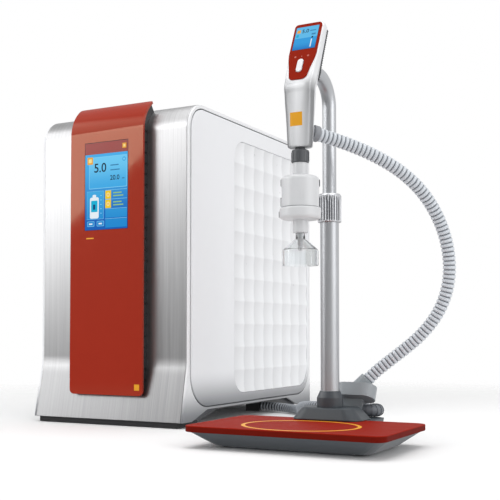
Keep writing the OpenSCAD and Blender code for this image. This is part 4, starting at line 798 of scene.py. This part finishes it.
fascia_mark = finish("printed_orange", (226, 160, 40), 0.3, shine=0.2)
patch("fascia_tag", 3, 161.4, 18.5, 163.6, 0.12, fascia_mark)
patch("fascia_square", 103, 408, 113, 418, 0.12, fascia_mark, 0.6)

# Inside the cabinet: the sealed water path and its electrics, seen only when the covers are off.
# Mouldings, drawn metal and a circuit board on the inner wall. The handset's board and the column's
# collet share their finishes.
inner_steel = finish("inner_sheet", (176, 177, 180), 0.35, metal=1.0, cloud=(300, 20, 20))
board_green = finish("solder_mask", (22, 84, 48), 0.35, mottle=0.12)
satin_metal = finish("satin_metal", (190, 191, 194), 0.32, metal=1.0)
pack_plastic = finish("pack_white", (228, 229, 230), 0.35)
head_blue = finish("head_blue", (58, 92, 140), 0.4)
brass = finish("machined_brass", (196, 158, 92), 0.3, metal=1.0)
dress(inner_steel, 0.3, "inner_wall")
dress(board_green, 0.0, "control_board", "handset_board")
dress(satin_metal, 0.6, "power_supply", "uv_chamber")
dress(pack_plastic, 1.0, "purification_packs", "membrane_housing")
dress(head_blue, 0.8, "pack_head")
dress(black_plastic, 0.6, "pump_body")
dress(fitting_plastic, 0.3, "pump_rotor", "collet")
dress(brass, 0.5, "valve_block")

# Tray: a slate-painted cast skirt that tapers to its pads, under a loose satin red top with a
# yellow oval ring let into it where the vessel goes.
slate = finish("slate_paint", (72, 78, 84), 0.42, mottle=0.06, grit=900, bump=0.06, shine=0.35)
# Painted shade: the red top's sides, below its upper face, take the darker lower red.
tray_red = finish("tray_red", (148, 34, 20), 0.5, shine=0.02, mottle=0.03, grit=300, bump=0.01,
                  lower=((104, 22, 13), 28.2, 29.7))
ring_yellow = finish("ring_yellow", (240, 172, 36), 0.4, mottle=0.02, shine=0.2)
pad_h, tray_low, tray_top = 2.0, 21.5, 30.0


def slab(bm, x0, y0, x1, y1, z, r, segments=8):
    """A face with rounded corners, placed from the column's axis."""
    verts = [bm.verts.new((pole.x + x, pole.y + y, z)) for x, y in ((x0, y0), (x1, y0), (x1, y1), (x0, y1))]
    bm.faces.new(verts)
    round_corners(bm, verts, r, segments)
    bm.faces.ensure_lookup_table()
    return bm.faces[-1]


def raised(bm, face, rise, shrink=(1.0, 1.0), back=0.0):
    """Pulls a face up, drawing it in or out about its middle, and gives the new face."""
    pulled = bmesh.ops.extrude_face_region(bm, geom=[face])["geom"]
    verts = [g for g in pulled if isinstance(g, bmesh.types.BMVert)]
    top = [g for g in pulled if isinstance(g, bmesh.types.BMFace)][0]
    bmesh.ops.translate(bm, verts=verts, vec=(0, back, rise))
    mid = top.calc_center_median()
    bmesh.ops.scale(bm, vec=(shrink[0], shrink[1], 1.0), verts=verts, space=Matrix.Translation(-mid))
    return top


bm = bmesh.new()
raised(bm, slab(bm, -113, -145, 113, -23, pad_h, 14), tray_low - pad_h, (140 / 113, 88 / 61))
raised(bm, slab(bm, -56, 9, 56, 66, pad_h, 14), tray_top - pad_h, (62 / 56, 30.4 / 28.5))
bmesh.ops.recalc_face_normals(bm, faces=bm.faces)
soften(bm, 1.5, 3, 30)
keep(bm, "tray_body", slate, "base", ["tray_skirt"])

bm = bmesh.new()
raised(bm, slab(bm, -143, -175, 143, 7, tray_low, 16), tray_top - 0.05 - tray_low)
bmesh.ops.recalc_face_normals(bm, faces=bm.faces)
soften(bm, 1.1, 3)
keep(bm, "tray_plate", tray_red, "base", ["tray_top"])


def turned(profile, place, steps=64):
    """Spins a closed side view of radius and height about an upright axis."""
    bm = bmesh.new()
    verts = [bm.verts.new((r, 0, z)) for r, z in profile]
    edges = [bm.edges.new(pair) for pair in zip(verts, verts[1:] + verts[:1])]
    bmesh.ops.spin(bm, geom=verts + edges, cent=(0, 0, 0), axis=(0, 0, 1), dvec=(0, 0, 0),
                   angle=2 * math.pi, steps=steps, use_merge=True)
    bmesh.ops.remove_doubles(bm, verts=bm.verts, dist=0.001)
    bmesh.ops.dissolve_degenerate(bm, edges=bm.edges, dist=0.001)
    bmesh.ops.recalc_face_normals(bm, faces=bm.faces)
    bmesh.ops.transform(bm, matrix=place, verts=bm.verts)
    return bm


outlet = pole + Vector((0, -arm_reach, 0))
at_pole, at_outlet = Matrix.Translation(pole), Matrix.Translation(outlet)
ring_x, ring_y, ring_w = 83.2, 69.2, 5.4
low, high = tray_top - 1.1, tray_top + 0.12
bm = turned([(ring_x - ring_w, low), (ring_x - ring_w, high - 0.12), (ring_x - ring_w + 0.3, high),
             (ring_x - 0.3, high), (ring_x, high - 0.12), (ring_x, low)], Matrix.Identity(4), 128)
for v in bm.verts:
    grow, a = v.co.xy.length - ring_x, math.atan2(v.co.y, v.co.x)
    v.co.x, v.co.y = outlet.x + (ring_x + grow) * math.cos(a), outlet.y + (ring_y + grow) * math.sin(a)
keep(bm, "vessel_ring", ring_yellow, "base", ["target_ring"])

# Column foot: a slate-painted casting with leaning sides on the tray's rear edge, bored for the
# lower tube, and a dark collar that grips the tube.
foot_rise, tube_bore = 18.0, 13.7
bm = bmesh.new()
raised(bm, slab(bm, -54, -29.5, 54, 42, tray_top, 22, 10), foot_rise, (39 / 54, 24.25 / 35.75), -3.5)
bmesh.ops.recalc_face_normals(bm, faces=bm.faces)
soften(bm, 3.0, 4, 20)
top = max(bm.faces, key=lambda f: f.calc_center_median().z)
mouth = list(top.edges)
bmesh.ops.delete(bm, geom=[top], context="FACES_ONLY")
bore = bmesh.ops.create_circle(bm, segments=48, radius=tube_bore,
                               matrix=at_pole @ Matrix.Translation((0, 0, tray_top + foot_rise)))["verts"]
bore = list({e for v in bore for e in v.link_edges})
bmesh.ops.triangle_fill(bm, edges=mouth + bore, use_beauty=True)
next_ring(bm, bore, Matrix.Translation((0, 0, 5.2 - foot_rise)))
close_up(bm)
# Painted shade: the foot takes a darker copy of the tray's slate paint.
shaded_slate = finish("shaded_slate", (60, 66, 71), 0.42, mottle=0.06, grit=900, bump=0.06, shine=0.4)
keep(bm, "column_foot", shaded_slate, "base", ["pedestal"])
collar_plastic = finish("collar_grey", (60, 66, 72), 0.42, mottle=0.08)
bm = turned([(tube_bore, 48), (19, 48), (19, 61), (18.4, 62.4), (14.9, 70.2), (14.7, 71),
             (tube_bore, 71)], at_pole)
soften(bm, 0.6, 2, 35)
keep(bm, "tube_collar", collar_plastic, "base", ["column_collar"])

# Column tubes: satin anodised aluminium. The upper one slides in the lower, bends forward at the
# top and carries the handset on its plug. A knurled ring clamps the two together.
tube_metal = finish("satin_tube", (182, 184, 187), 0.38, metal=0.85, mottle=0.03, cloud=(90, 90, 8),
                    grit=1500)
lower_r, lower_bore, lower_foot, lower_top = 13.5, 12.0, 35.0, 333.0
upper_r, upper_foot, knee_r, knee_z = 10.0, 143.0, 40.0, 480.0
bm = turned([(lower_bore, lower_foot), (lower_r, lower_foot), (lower_r, lower_top),
             (lower_bore, lower_top)], at_pole)
keep(bm, "tube_lower", tube_metal, "base", ["lower_tube"])

bm = bmesh.new()
bmesh.ops.create_circle(bm, segments=48, radius=upper_r,
                        matrix=at_pole @ Matrix.Translation((0, 0, upper_foot)))
edges = next_ring(bm, bm.edges[:], Matrix.Translation((0, 0, knee_z - upper_foot)))
knee = Matrix.Translation(pole + Vector((0, -knee_r, knee_z)))
for k in range(18):
    edges = next_ring(bm, edges, knee @ Matrix.Rotation(math.radians(5), 4, "X") @ knee.inverted())
next_ring(bm, edges, Matrix.Translation((0, -16, 0)))
close_up(bm)
keep(bm, "tube_upper", tube_metal, "mast", ["upper_tube"])

# Painted light: a dark base for the flutes and a light crest colour for the lands.
knurl_metal = finish("knurled_ring", (112, 114, 118), 0.34, metal=0.9, mottle=0.04, grit=1500,
                     crest=(198, 199, 202))
clamp_low, clamp_r, flutes, flute_in = 314.0, 16.4, 28, 0.945
bm = bmesh.new()
crest = bm.verts.layers.float.new("crest")
bmesh.ops.create_circle(bm, segments=4 * flutes, radius=clamp_r,
                        matrix=at_pole @ Matrix.Translation((0, 0, clamp_low)))
edges = bm.edges[:]
for rise, grow in ((0.8, 1.04), (2.0, 1.01), (26.0, 1.0), (5.0, 1.0), (4.0, 1.0), (2.0, 0.94), (1.2, 0.93)):
    edges = next_ring(bm, edges, at_pole @ Matrix.Diagonal((grow, grow, 1, 1)) @ at_pole.inverted()
                      @ Matrix.Translation((0, 0, rise)))
close_up(bm)
# The flutes are pressed in and also painted dark as shade; the lands between them take the light crest colour
# as a painted highlight.
for v in bm.verts:
    out = v.co.xy - pole.xy
    turn = math.atan2(out.y, out.x) / (2 * math.pi) * flutes
    v[crest] = 1.0
    if clamp_low + 2 < v.co.z < clamp_low + 35 and turn % 1.0 > 0.45:
        v.co.x, v.co.y = pole.x + out.x * flute_in, pole.y + out.y * flute_in
        v[crest] = 0.0
bmesh.ops.recalc_face_normals(bm, faces=bm.faces)
keep(bm, "knurled_clamp", knurl_metal, "clamp", ["clamp_ring"], sharp=25)

plug_grey = finish("plug_grey", (72, 75, 80), 0.4)
dress(plug_grey, 0.5, "holder_plug")

# Hose hub: a grey moulded block that leans back on its foot behind the column. The hose plugs
# into its upper face, and a ribbed rubber boot leads the umbilical away below.
hub_plastic = finish("hub_grey", (150, 156, 160), 0.38, shine=0.4)
dress(hub_plastic, 1.6, "hose_hub")
dress(hub_plastic, 0.8, "hose_socket")
boot_rubber = finish("boot_rubber", (104, 108, 114), 0.5)
dress(boot_rubber, 0.3, "umbilical_boot")

# Handset shells: two satin silver mouldings that part along the sides, and the sleeve that slides
# onto the arm's plug. The grip is upright and the head leans back; both are bent at the neck.
# Satin silver with painted light: a darker base at the sides and a painted highlight colour down the middle.
shell_plastic = finish("satin_silver", (130, 131, 133), 0.36, metal=0.3, mottle=0.02, bump=0.015, shine=0.3,
                       crest=(228, 229, 231))
neck_z, head_lean, parting = 487.0, math.radians(25), 2.0
SECTIONS = [(405, 30.6, 21, 0), (405.8, 32.8, 23.2, 0), (407.5, 33.8, 24, 0), (425, 35.8, 24.7, 0),
            (445, 37.8, 25.4, 0), (465, 39.4, 25.4, 0), (480, 40.4, 25, 0), (487, 41, 24.6, -0.3),
            (495, 41.6, 24, -0.8), (515, 43, 22, -2), (540, 44.2, 19.6, -3.2),
            (565, 44.6, 18.2, -3.9), (585, 45, 17, -4.5), (588.5, 44.2, 16.1, -4.6),
            (590.3, 42.4, 14.3, -4.65), (591, 39, 11.5, -4.7)]


def section(z):
    """Width, depth, forward shift and squareness of the straight handset at a height."""
    for a, b in zip(SECTIONS, SECTIONS[1:]):
        if z <= b[0]:
            break
    part = (z - a[0]) / (b[0] - a[0])
    squareness = 3.0 + 3.0 * min(max((z - 445) / 55, 0.0), 1.0)
    return tuple(p + (q - p) * part for p, q in zip(a[1:], b[1:])) + (squareness,)


def bent(z, y):
    """Where a point of the straight handset goes when the head is leaned back."""
    part = min(max((z - neck_z + 8) / 16, 0.0), 1.0)
    a = head_lean * part * part * (3 - 2 * part)
    up = z - neck_z
    return y * math.cos(a) + up * math.sin(a), neck_z - y * math.sin(a) + up * math.cos(a)


def handset_half(front):
    """Skins the sections, keeps one side of the parting plane and bends it."""
    bm = bmesh.new()
    crest = bm.verts.layers.float.new("crest")
    loops = []
    for z in sorted({s[0] for s in SECTIONS} | set(range(478, 497, 2)) | {502, 508}):
        wide, deep, shift, square = section(z)
        verts = []
        for k in range(64):
            c, s = math.cos(math.pi * k / 32), math.sin(math.pi * k / 32)
            verts.append(bm.verts.new((wide / 2 * math.copysign(abs(c) ** (2 / square), c),
                                       deep / 2 * math.copysign(abs(s) ** (2 / square), s) + shift, z)))
        loops.append([bm.edges.new((a, b)) for a, b in zip(verts, verts[1:] + verts[:1])])
    for a, b in zip(loops, loops[1:]):
        bmesh.ops.bridge_loops(bm, edges=a + b)
    close_up(bm)
    bmesh.ops.bisect_plane(bm, geom=bm.verts[:] + bm.edges[:] + bm.faces[:],
                           plane_co=(0, parting + (-0.2 if front else 0.3), 0), plane_no=(0, 1, 0),
                           clear_outer=front, clear_inner=not front)
    close_up(bm)
    # Painted light on the front shell: a highlight down the middle of the grip and painted shade towards its
    # sides, fading out at the head; the rear shell takes one even mix.
    for v in bm.verts:
        off = 2 * v.co.x / section(v.co.z)[0]
        edge = abs(off) ** 2.4 if off > 0 else 1.4 * abs(off) ** 1.5
        v[crest] = 1.0 - edge * min(max((500 - v.co.z) / 20, 0.0), 1.0) if front else 0.85
        y, z = bent(v.co.z, v.co.y)
        v.co = (outlet.x + v.co.x, outlet.y + y, z)
    bmesh.ops.recalc_face_normals(bm, faces=bm.faces)
    return bm


keep(handset_half(True), "grip_front", shell_plastic, "handset", ["handset_front"], sharp=50)
keep(handset_half(False), "grip_rear", shell_plastic, "handset", ["handset_rear"], sharp=50)
sleeve = at_outlet @ Matrix.Translation((0, 40.8, 520)) @ Matrix.Rotation(math.radians(90), 4, "X")
sleeve_plastic = finish("sleeve_grey", (150, 152, 156), 0.4, metal=0.3)
keep(turned([(8.1, 0), (11, 0), (11.5, 0.5), (11.5, 24), (8.1, 24)], sleeve), "arm_sleeve", sleeve_plastic,
     "handset", [])


# Handset face: a satin red plate with a colour display and a long white thumb button, and small
# serrations along the rear shell for grip.
def on_head(x, y, w):
    """A place on the head: across, into it from its middle plane, and up its slope."""
    return Vector((outlet.x + x, outlet.y + y * math.cos(head_lean) + w * math.sin(head_lean),
                   neck_z - y * math.sin(head_lean) + w * math.cos(head_lean)))


def head_plate(line, front, back, holes=()):
    """A plate drawn in the face's own plane and pulled into the head."""
    bm = bmesh.new()
    edges = []
    for loop in [line] + list(holes):
        verts = [bm.verts.new(on_head(x, front, w)) for x, w in loop]
        edges += [bm.edges.new((a, b)) for a, b in zip(verts, verts[1:] + verts[:1])]
    bmesh.ops.triangle_fill(bm, edges=edges, use_beauty=True)
    pulled_in(bm, on_head(0, back, 0) - on_head(0, front, 0))
    bmesh.ops.dissolve_limit(bm, angle_limit=math.radians(0.5), verts=bm.verts, edges=bm.edges)
    return bm


def stadium(x, w, half_x, half_w, grow=0.0):
    """The outline of a long button with round ends."""
    r = half_x + grow
    return arc((x, w + half_w - half_x), r, 0, 180, 10) + arc((x, w - half_w + half_x), r, 180, 360, 10)


face_front, button_w = -14.2, 27.0
face_red = finish("face_red", (143, 32, 12), 0.4, shine=0.02, mottle=0.03, grit=300, bump=0.004)
face_line = (arc((15.4, 96.5), 5, 0, 90, 6) + arc((-15.4, 96.5), 5, 90, 180, 6)
             + [(-20.4, 84), (-20.4, 47), (-19.4, 39), (-15.2, 20)] + arc((-6, 11.5), 7.5, 190, 270, 6)
             + arc((6, 11.5), 7.5, 270, 350, 6) + [(15.2, 20), (19.4, 39), (20.4, 47), (20.4, 84)])
bm = head_plate(face_line, face_front, -11.0, [stadium(0, button_w, 4.3, 11.0, 0.4)])
soften(bm, 0.35, 2, 60)
keep(bm, "face_plate", face_red, "handset", ["handset_face"])
bm = head_plate(round_rect((-17.5, 55), (17.5, 96), 1.2, 1.2, 0.0, 4), face_front - 0.15, face_front + 0.8)
soften(bm, 0.15, 1, 60)
keep(bm, "handset_screen", glass_black, "handset", ["handset_display"])


def head_patch(name, x0, w0, x1, w1, lift, made, r=0.4):
    """A flat part of the handset's picture."""
    front = face_front - 0.15 - lift
    keep(head_plate(round_rect((x0, w0), (x1, w1), r, r, 0.0, 3), front, front + 0.05), name, made, "handset",
         [])


hand_blue = lit_finish("hand_blue", (52, 158, 224), fall=((18, 100, 186), 537, 556))
hand_pale = lit_finish("hand_pale", (96, 188, 236))
head_patch("hand_picture", -16.9, 55.6, 16.9, 95.4, 0.05, hand_blue)
head_patch("hand_band", -16.9, 75.5, 16.9, 95.4, 0.1, hand_pale)
head_patch("hand_square", -15, 85.0, -9.6, 90.4, 0.16, picture_orange)
head_patch("hand_drop", -15.2, 77.4, -11.4, 82.6, 0.16, picture_cyan, 1.6)
head_patch("hand_note", 4.6, 86.4, 13.6, 88.2, 0.16, picture_note, 0.2)
head_patch("hand_figure", 8.0, 79.2, 14.0, 82.0, 0.16, picture_note, 0.2)
head_patch("hand_gauge", 8.6, 58.0, 10.2, 72.0, 0.16, picture_white, 0.2)
head_patch("hand_dot", 8.6, 73.6, 11.2, 76.6, 0.16, picture_ink, 1.0)
figures("hand_reading", "5.0", 8.8, lambda x, y: on_head(x - 7.8, face_front - 0.32, y + 84.6), picture_ink,
        "handset")
icon_pink = lit_finish("icon_pink", (206, 120, 106))
for i, (x, r) in enumerate(((-9.5, 1.5), (0.0, 0.8), (9.5, 1.5))):
    keep(head_plate(arc((x, 43), r, 0, 330, 11), face_front - 0.08, face_front + 0.1), "face_icon_%d" % i,
         icon_pink, "handset", [])

button_plastic = finish("button_white", (226, 227, 230), 0.3, coat=0.2)
bm = head_plate(stadium(0, button_w, 4.3, 11.0), face_front - 1.4, face_front + 5.0)
soften(bm, 0.9, 3, 60)
keep(bm, "thumb_button", button_plastic, "button", ["dispense_button"])

grip_rubber = finish("grip_dark", (56, 58, 62), 0.5)
teeth, first_tooth, tooth_pitch = 22, 18.0, 3.75
for side, word in both_sides:
    bm = bmesh.new()
    for k in range(teeth):
        w = first_tooth + k * tooth_pitch
        wide, deep, shift, square = section(neck_z + w)
        tooth = bmesh.ops.create_cube(bm, size=1.0)["verts"]
        for v in tooth:
            v.co = on_head(side * (wide / 2 - 0.5 + 2.4 * v.co.x), deep / 2 + shift - 2.4 + 3.6 * v.co.y,
                           w + 2.1 * v.co.z)
    bmesh.ops.recalc_face_normals(bm, faces=bm.faces)
    soften(bm, 0.4, 2)
    keep(bm, "serration_" + word, grip_rubber, "handset", [])
bm = bmesh.new()
bmesh.ops.create_uvsphere(bm, u_segments=20, v_segments=12, radius=1.0)
for v in bm.verts:
    v.co = on_head(-21.5 + 2.0 * v.co.x, -2.0 + 3.4 * v.co.y, 26 + 6.5 * v.co.z)
bmesh.ops.recalc_face_normals(bm, faces=bm.faces)
keep(bm, "side_stud", shell_plastic, "handset", [])

# Printed square: a plain orange mark on the front of the grip, which it follows round. It is ink on
# the shell, given just enough depth to be a closed shape.
bm = bmesh.new()
bmesh.ops.create_grid(bm, x_segments=12, y_segments=4, size=0.5)
for v in bm.verts:
    x, z = -0.5 + 18 * v.co.x, 442.2 + 18.5 * v.co.y
    wide, deep, shift, square = section(z)
    front = shift - deep / 2 * (1 - abs(2 * x / wide) ** square) ** (1 / square)
    v.co = (outlet.x + x, outlet.y + front - 0.12, z)
pulled_in(bm, (0, 0.4, 0))
keep(bm, "grip_square", fascia_mark, "handset", [])


# Valve nipple, hose boot and filter nut: grey mouldings at the lower end of the grip. The nut turns
# to let the filter go, and its ribs give the fingers hold.
def around(bm, a, r, z, size):
    """A block on a wall round the outlet's axis, at an angle, radius and height."""
    bit = bmesh.ops.create_cube(bm, size=1.0)["verts"]
    turn = at_outlet @ Matrix.Rotation(math.radians(a), 4, "Z")
    place = turn @ Matrix.Translation((r, 0, z)) @ Matrix.Diagonal(size + (1,))
    bmesh.ops.transform(bm, matrix=place, verts=bit)


nut_plastic = finish("nut_grey", (78, 80, 84), 0.42, mottle=0.08)
hose_boot_grey = finish("hose_boot_grey", (136, 138, 143), 0.45)
dress(nut_plastic, 0.3, "handset_valve")
dress(hose_boot_grey, 0.3, "handset_boot")
bm = turned([(7.0, 384.5), (11.2, 384.5), (11.8, 385.3), (11.8, 400.6), (11.0, 401.5), (7.0, 401.5)],
            at_outlet, 48)
for k in range(8):
    around(bm, 45 * k + 12, 11.7, 392.5, (1.3, 2.4, 13))
keep(bm, "slotted_nut", nut_plastic, "nut", ["filter_nut"], sharp=30)

# Point-of-use filter: a white welded capsule with moulded ribs, a wider lower ring and a stepped
# outlet barb, hung from the nut. A clear bell pushes onto the barb and shields the stream.
filter_plastic = finish("filter_white", (212, 213, 215), 0.3, coat=0.15, mottle=0.012)
filter_r, filter_low, outlet_low = 25.4, 323.4, 289.3
body = [(3, 392.3), (9.2, 392.3), (9.2, 384.3), (10.2, 384.3), (10.2, 367.2), (11.0, 366.3)]
body += arc((filter_r - 6, 360.3), 6.0, 90, 0, 6)
body += [(filter_r, 325.3), (filter_r, filter_low), (3, filter_low)]
bm = turned(body, at_outlet, 72)
soften(bm, 0.4, 2, 35)
keep(bm, "filter_capsule", filter_plastic, "handset", ["filter_body"])
base = [(1.6, 323.2), (25.4, 323.2)] + arc((25.6, 320.8), 2.4, 90, 0, 4) + arc((23.2, 312.1), 4.8, 0, -90, 6)
base += [(10.8, 307.3), (10.2, 306.6), (10.2, outlet_low + 0.7), (9.5, outlet_low), (4.8, outlet_low),
         (4.8, 280.3)]
for i in range(3):
    base += [(4.6 - 0.4 * i, 280.2 - 5 * i), (3.2 - 0.3 * i, 275.6 - 5 * i)]
base += [(2.6, 265.3), (1.6, 265.3)]
bm = turned(base, at_outlet, 72)
soften(bm, 0.25, 2, 40)
keep(bm, "filter_outlet", filter_plastic, "handset", ["filter_base"])

lugs = ((24.4, 357, (3.4, 3.4, 12)), (27.0, 314.5, (3.0, 3.4, 11)), (25.5, 330, (2.2, 3.0, 12)))
bm = bmesh.new()
for a in (30, 120, 210):
    for r, z, size in lugs:
        around(bm, a, r, z, size)
soften(bm, 0.8, 3)
keep(bm, "filter_ribs", filter_plastic, "handset", [])
rib_shade = finish("rib_shade", (96, 99, 104), 0.45)
bm = turned([(24, 322.8), (25.75, 322.8), (25.75, 323.8), (24, 323.8)], at_outlet, 72)
keep(bm, "filter_weld", rib_shade, "handset", [])
# Painted shade: small dark blocks on the ribs at 27 and 209 degrees, where the ribs turn away from the light.
bm = bmesh.new()
for a in (27, 209):
    for r, z, high in ((26.0, 357, 9), (26.2, 331, 12), (28.5, 314, 8)):
        around(bm, a, r, z, (1.4, 2.0, high))
soften(bm, 0.4, 2)
keep(bm, "filter_rib_shadows", rib_shade, "handset", [])
bm = bmesh.new()
verts = []
for t, z in ((-1.4, 346), (-1.4, 336), (-3.4, 336), (0, 330.5), (3.4, 336), (1.4, 336), (1.4, 346)):
    a = math.radians(-60) + t / filter_r
    verts.append(bm.verts.new((outlet.x + 25.8 * math.cos(a), outlet.y + 25.8 * math.sin(a), z)))
bm.faces.new(verts)
pulled_in(bm, (-0.5, 0.87, 0))
keep(bm, "flow_arrow", filter_plastic, "handset", [])
pleats = finish("pleated_membrane", (226, 224, 216), 0.7)
dress(pleats, 0.0, "filter_membrane")

bell_clear, tree, shader, spot = blank_finish("clear_bell")
haze = spot.node("ShaderNodeTexNoise", {}, {"Vector": spot, "Scale": 60.0})
tree.links.new((haze * 0.06 + 0.02).socket, shader.inputs["Roughness"])
shader.inputs["Base Color"].default_value = (0.95, 0.965, 0.97, 1.0)
shader.inputs["Transmission Weight"].default_value = 1.0
shader.inputs["IOR"].default_value = 1.35
profile = [(4.9, 289.1), (6.5, 289.1), (6.5, 282.5)] + arc((9.5, 282.6), 3.0, 180, 225, 4)
profile += arc((20.5, 264.1), 4.0, 45, 0, 5) + [(24.5, 246.0), (24.1, 245.1), (23.1, 245.1), (22.9, 246)]
profile += arc((20.5, 264.1), 2.4, 0, 45, 5) + [(4.9, 279.4)]
keep(turned(profile, at_outlet, 96), "clear_bell", bell_clear, "bell", ["bell"], sharp=60)
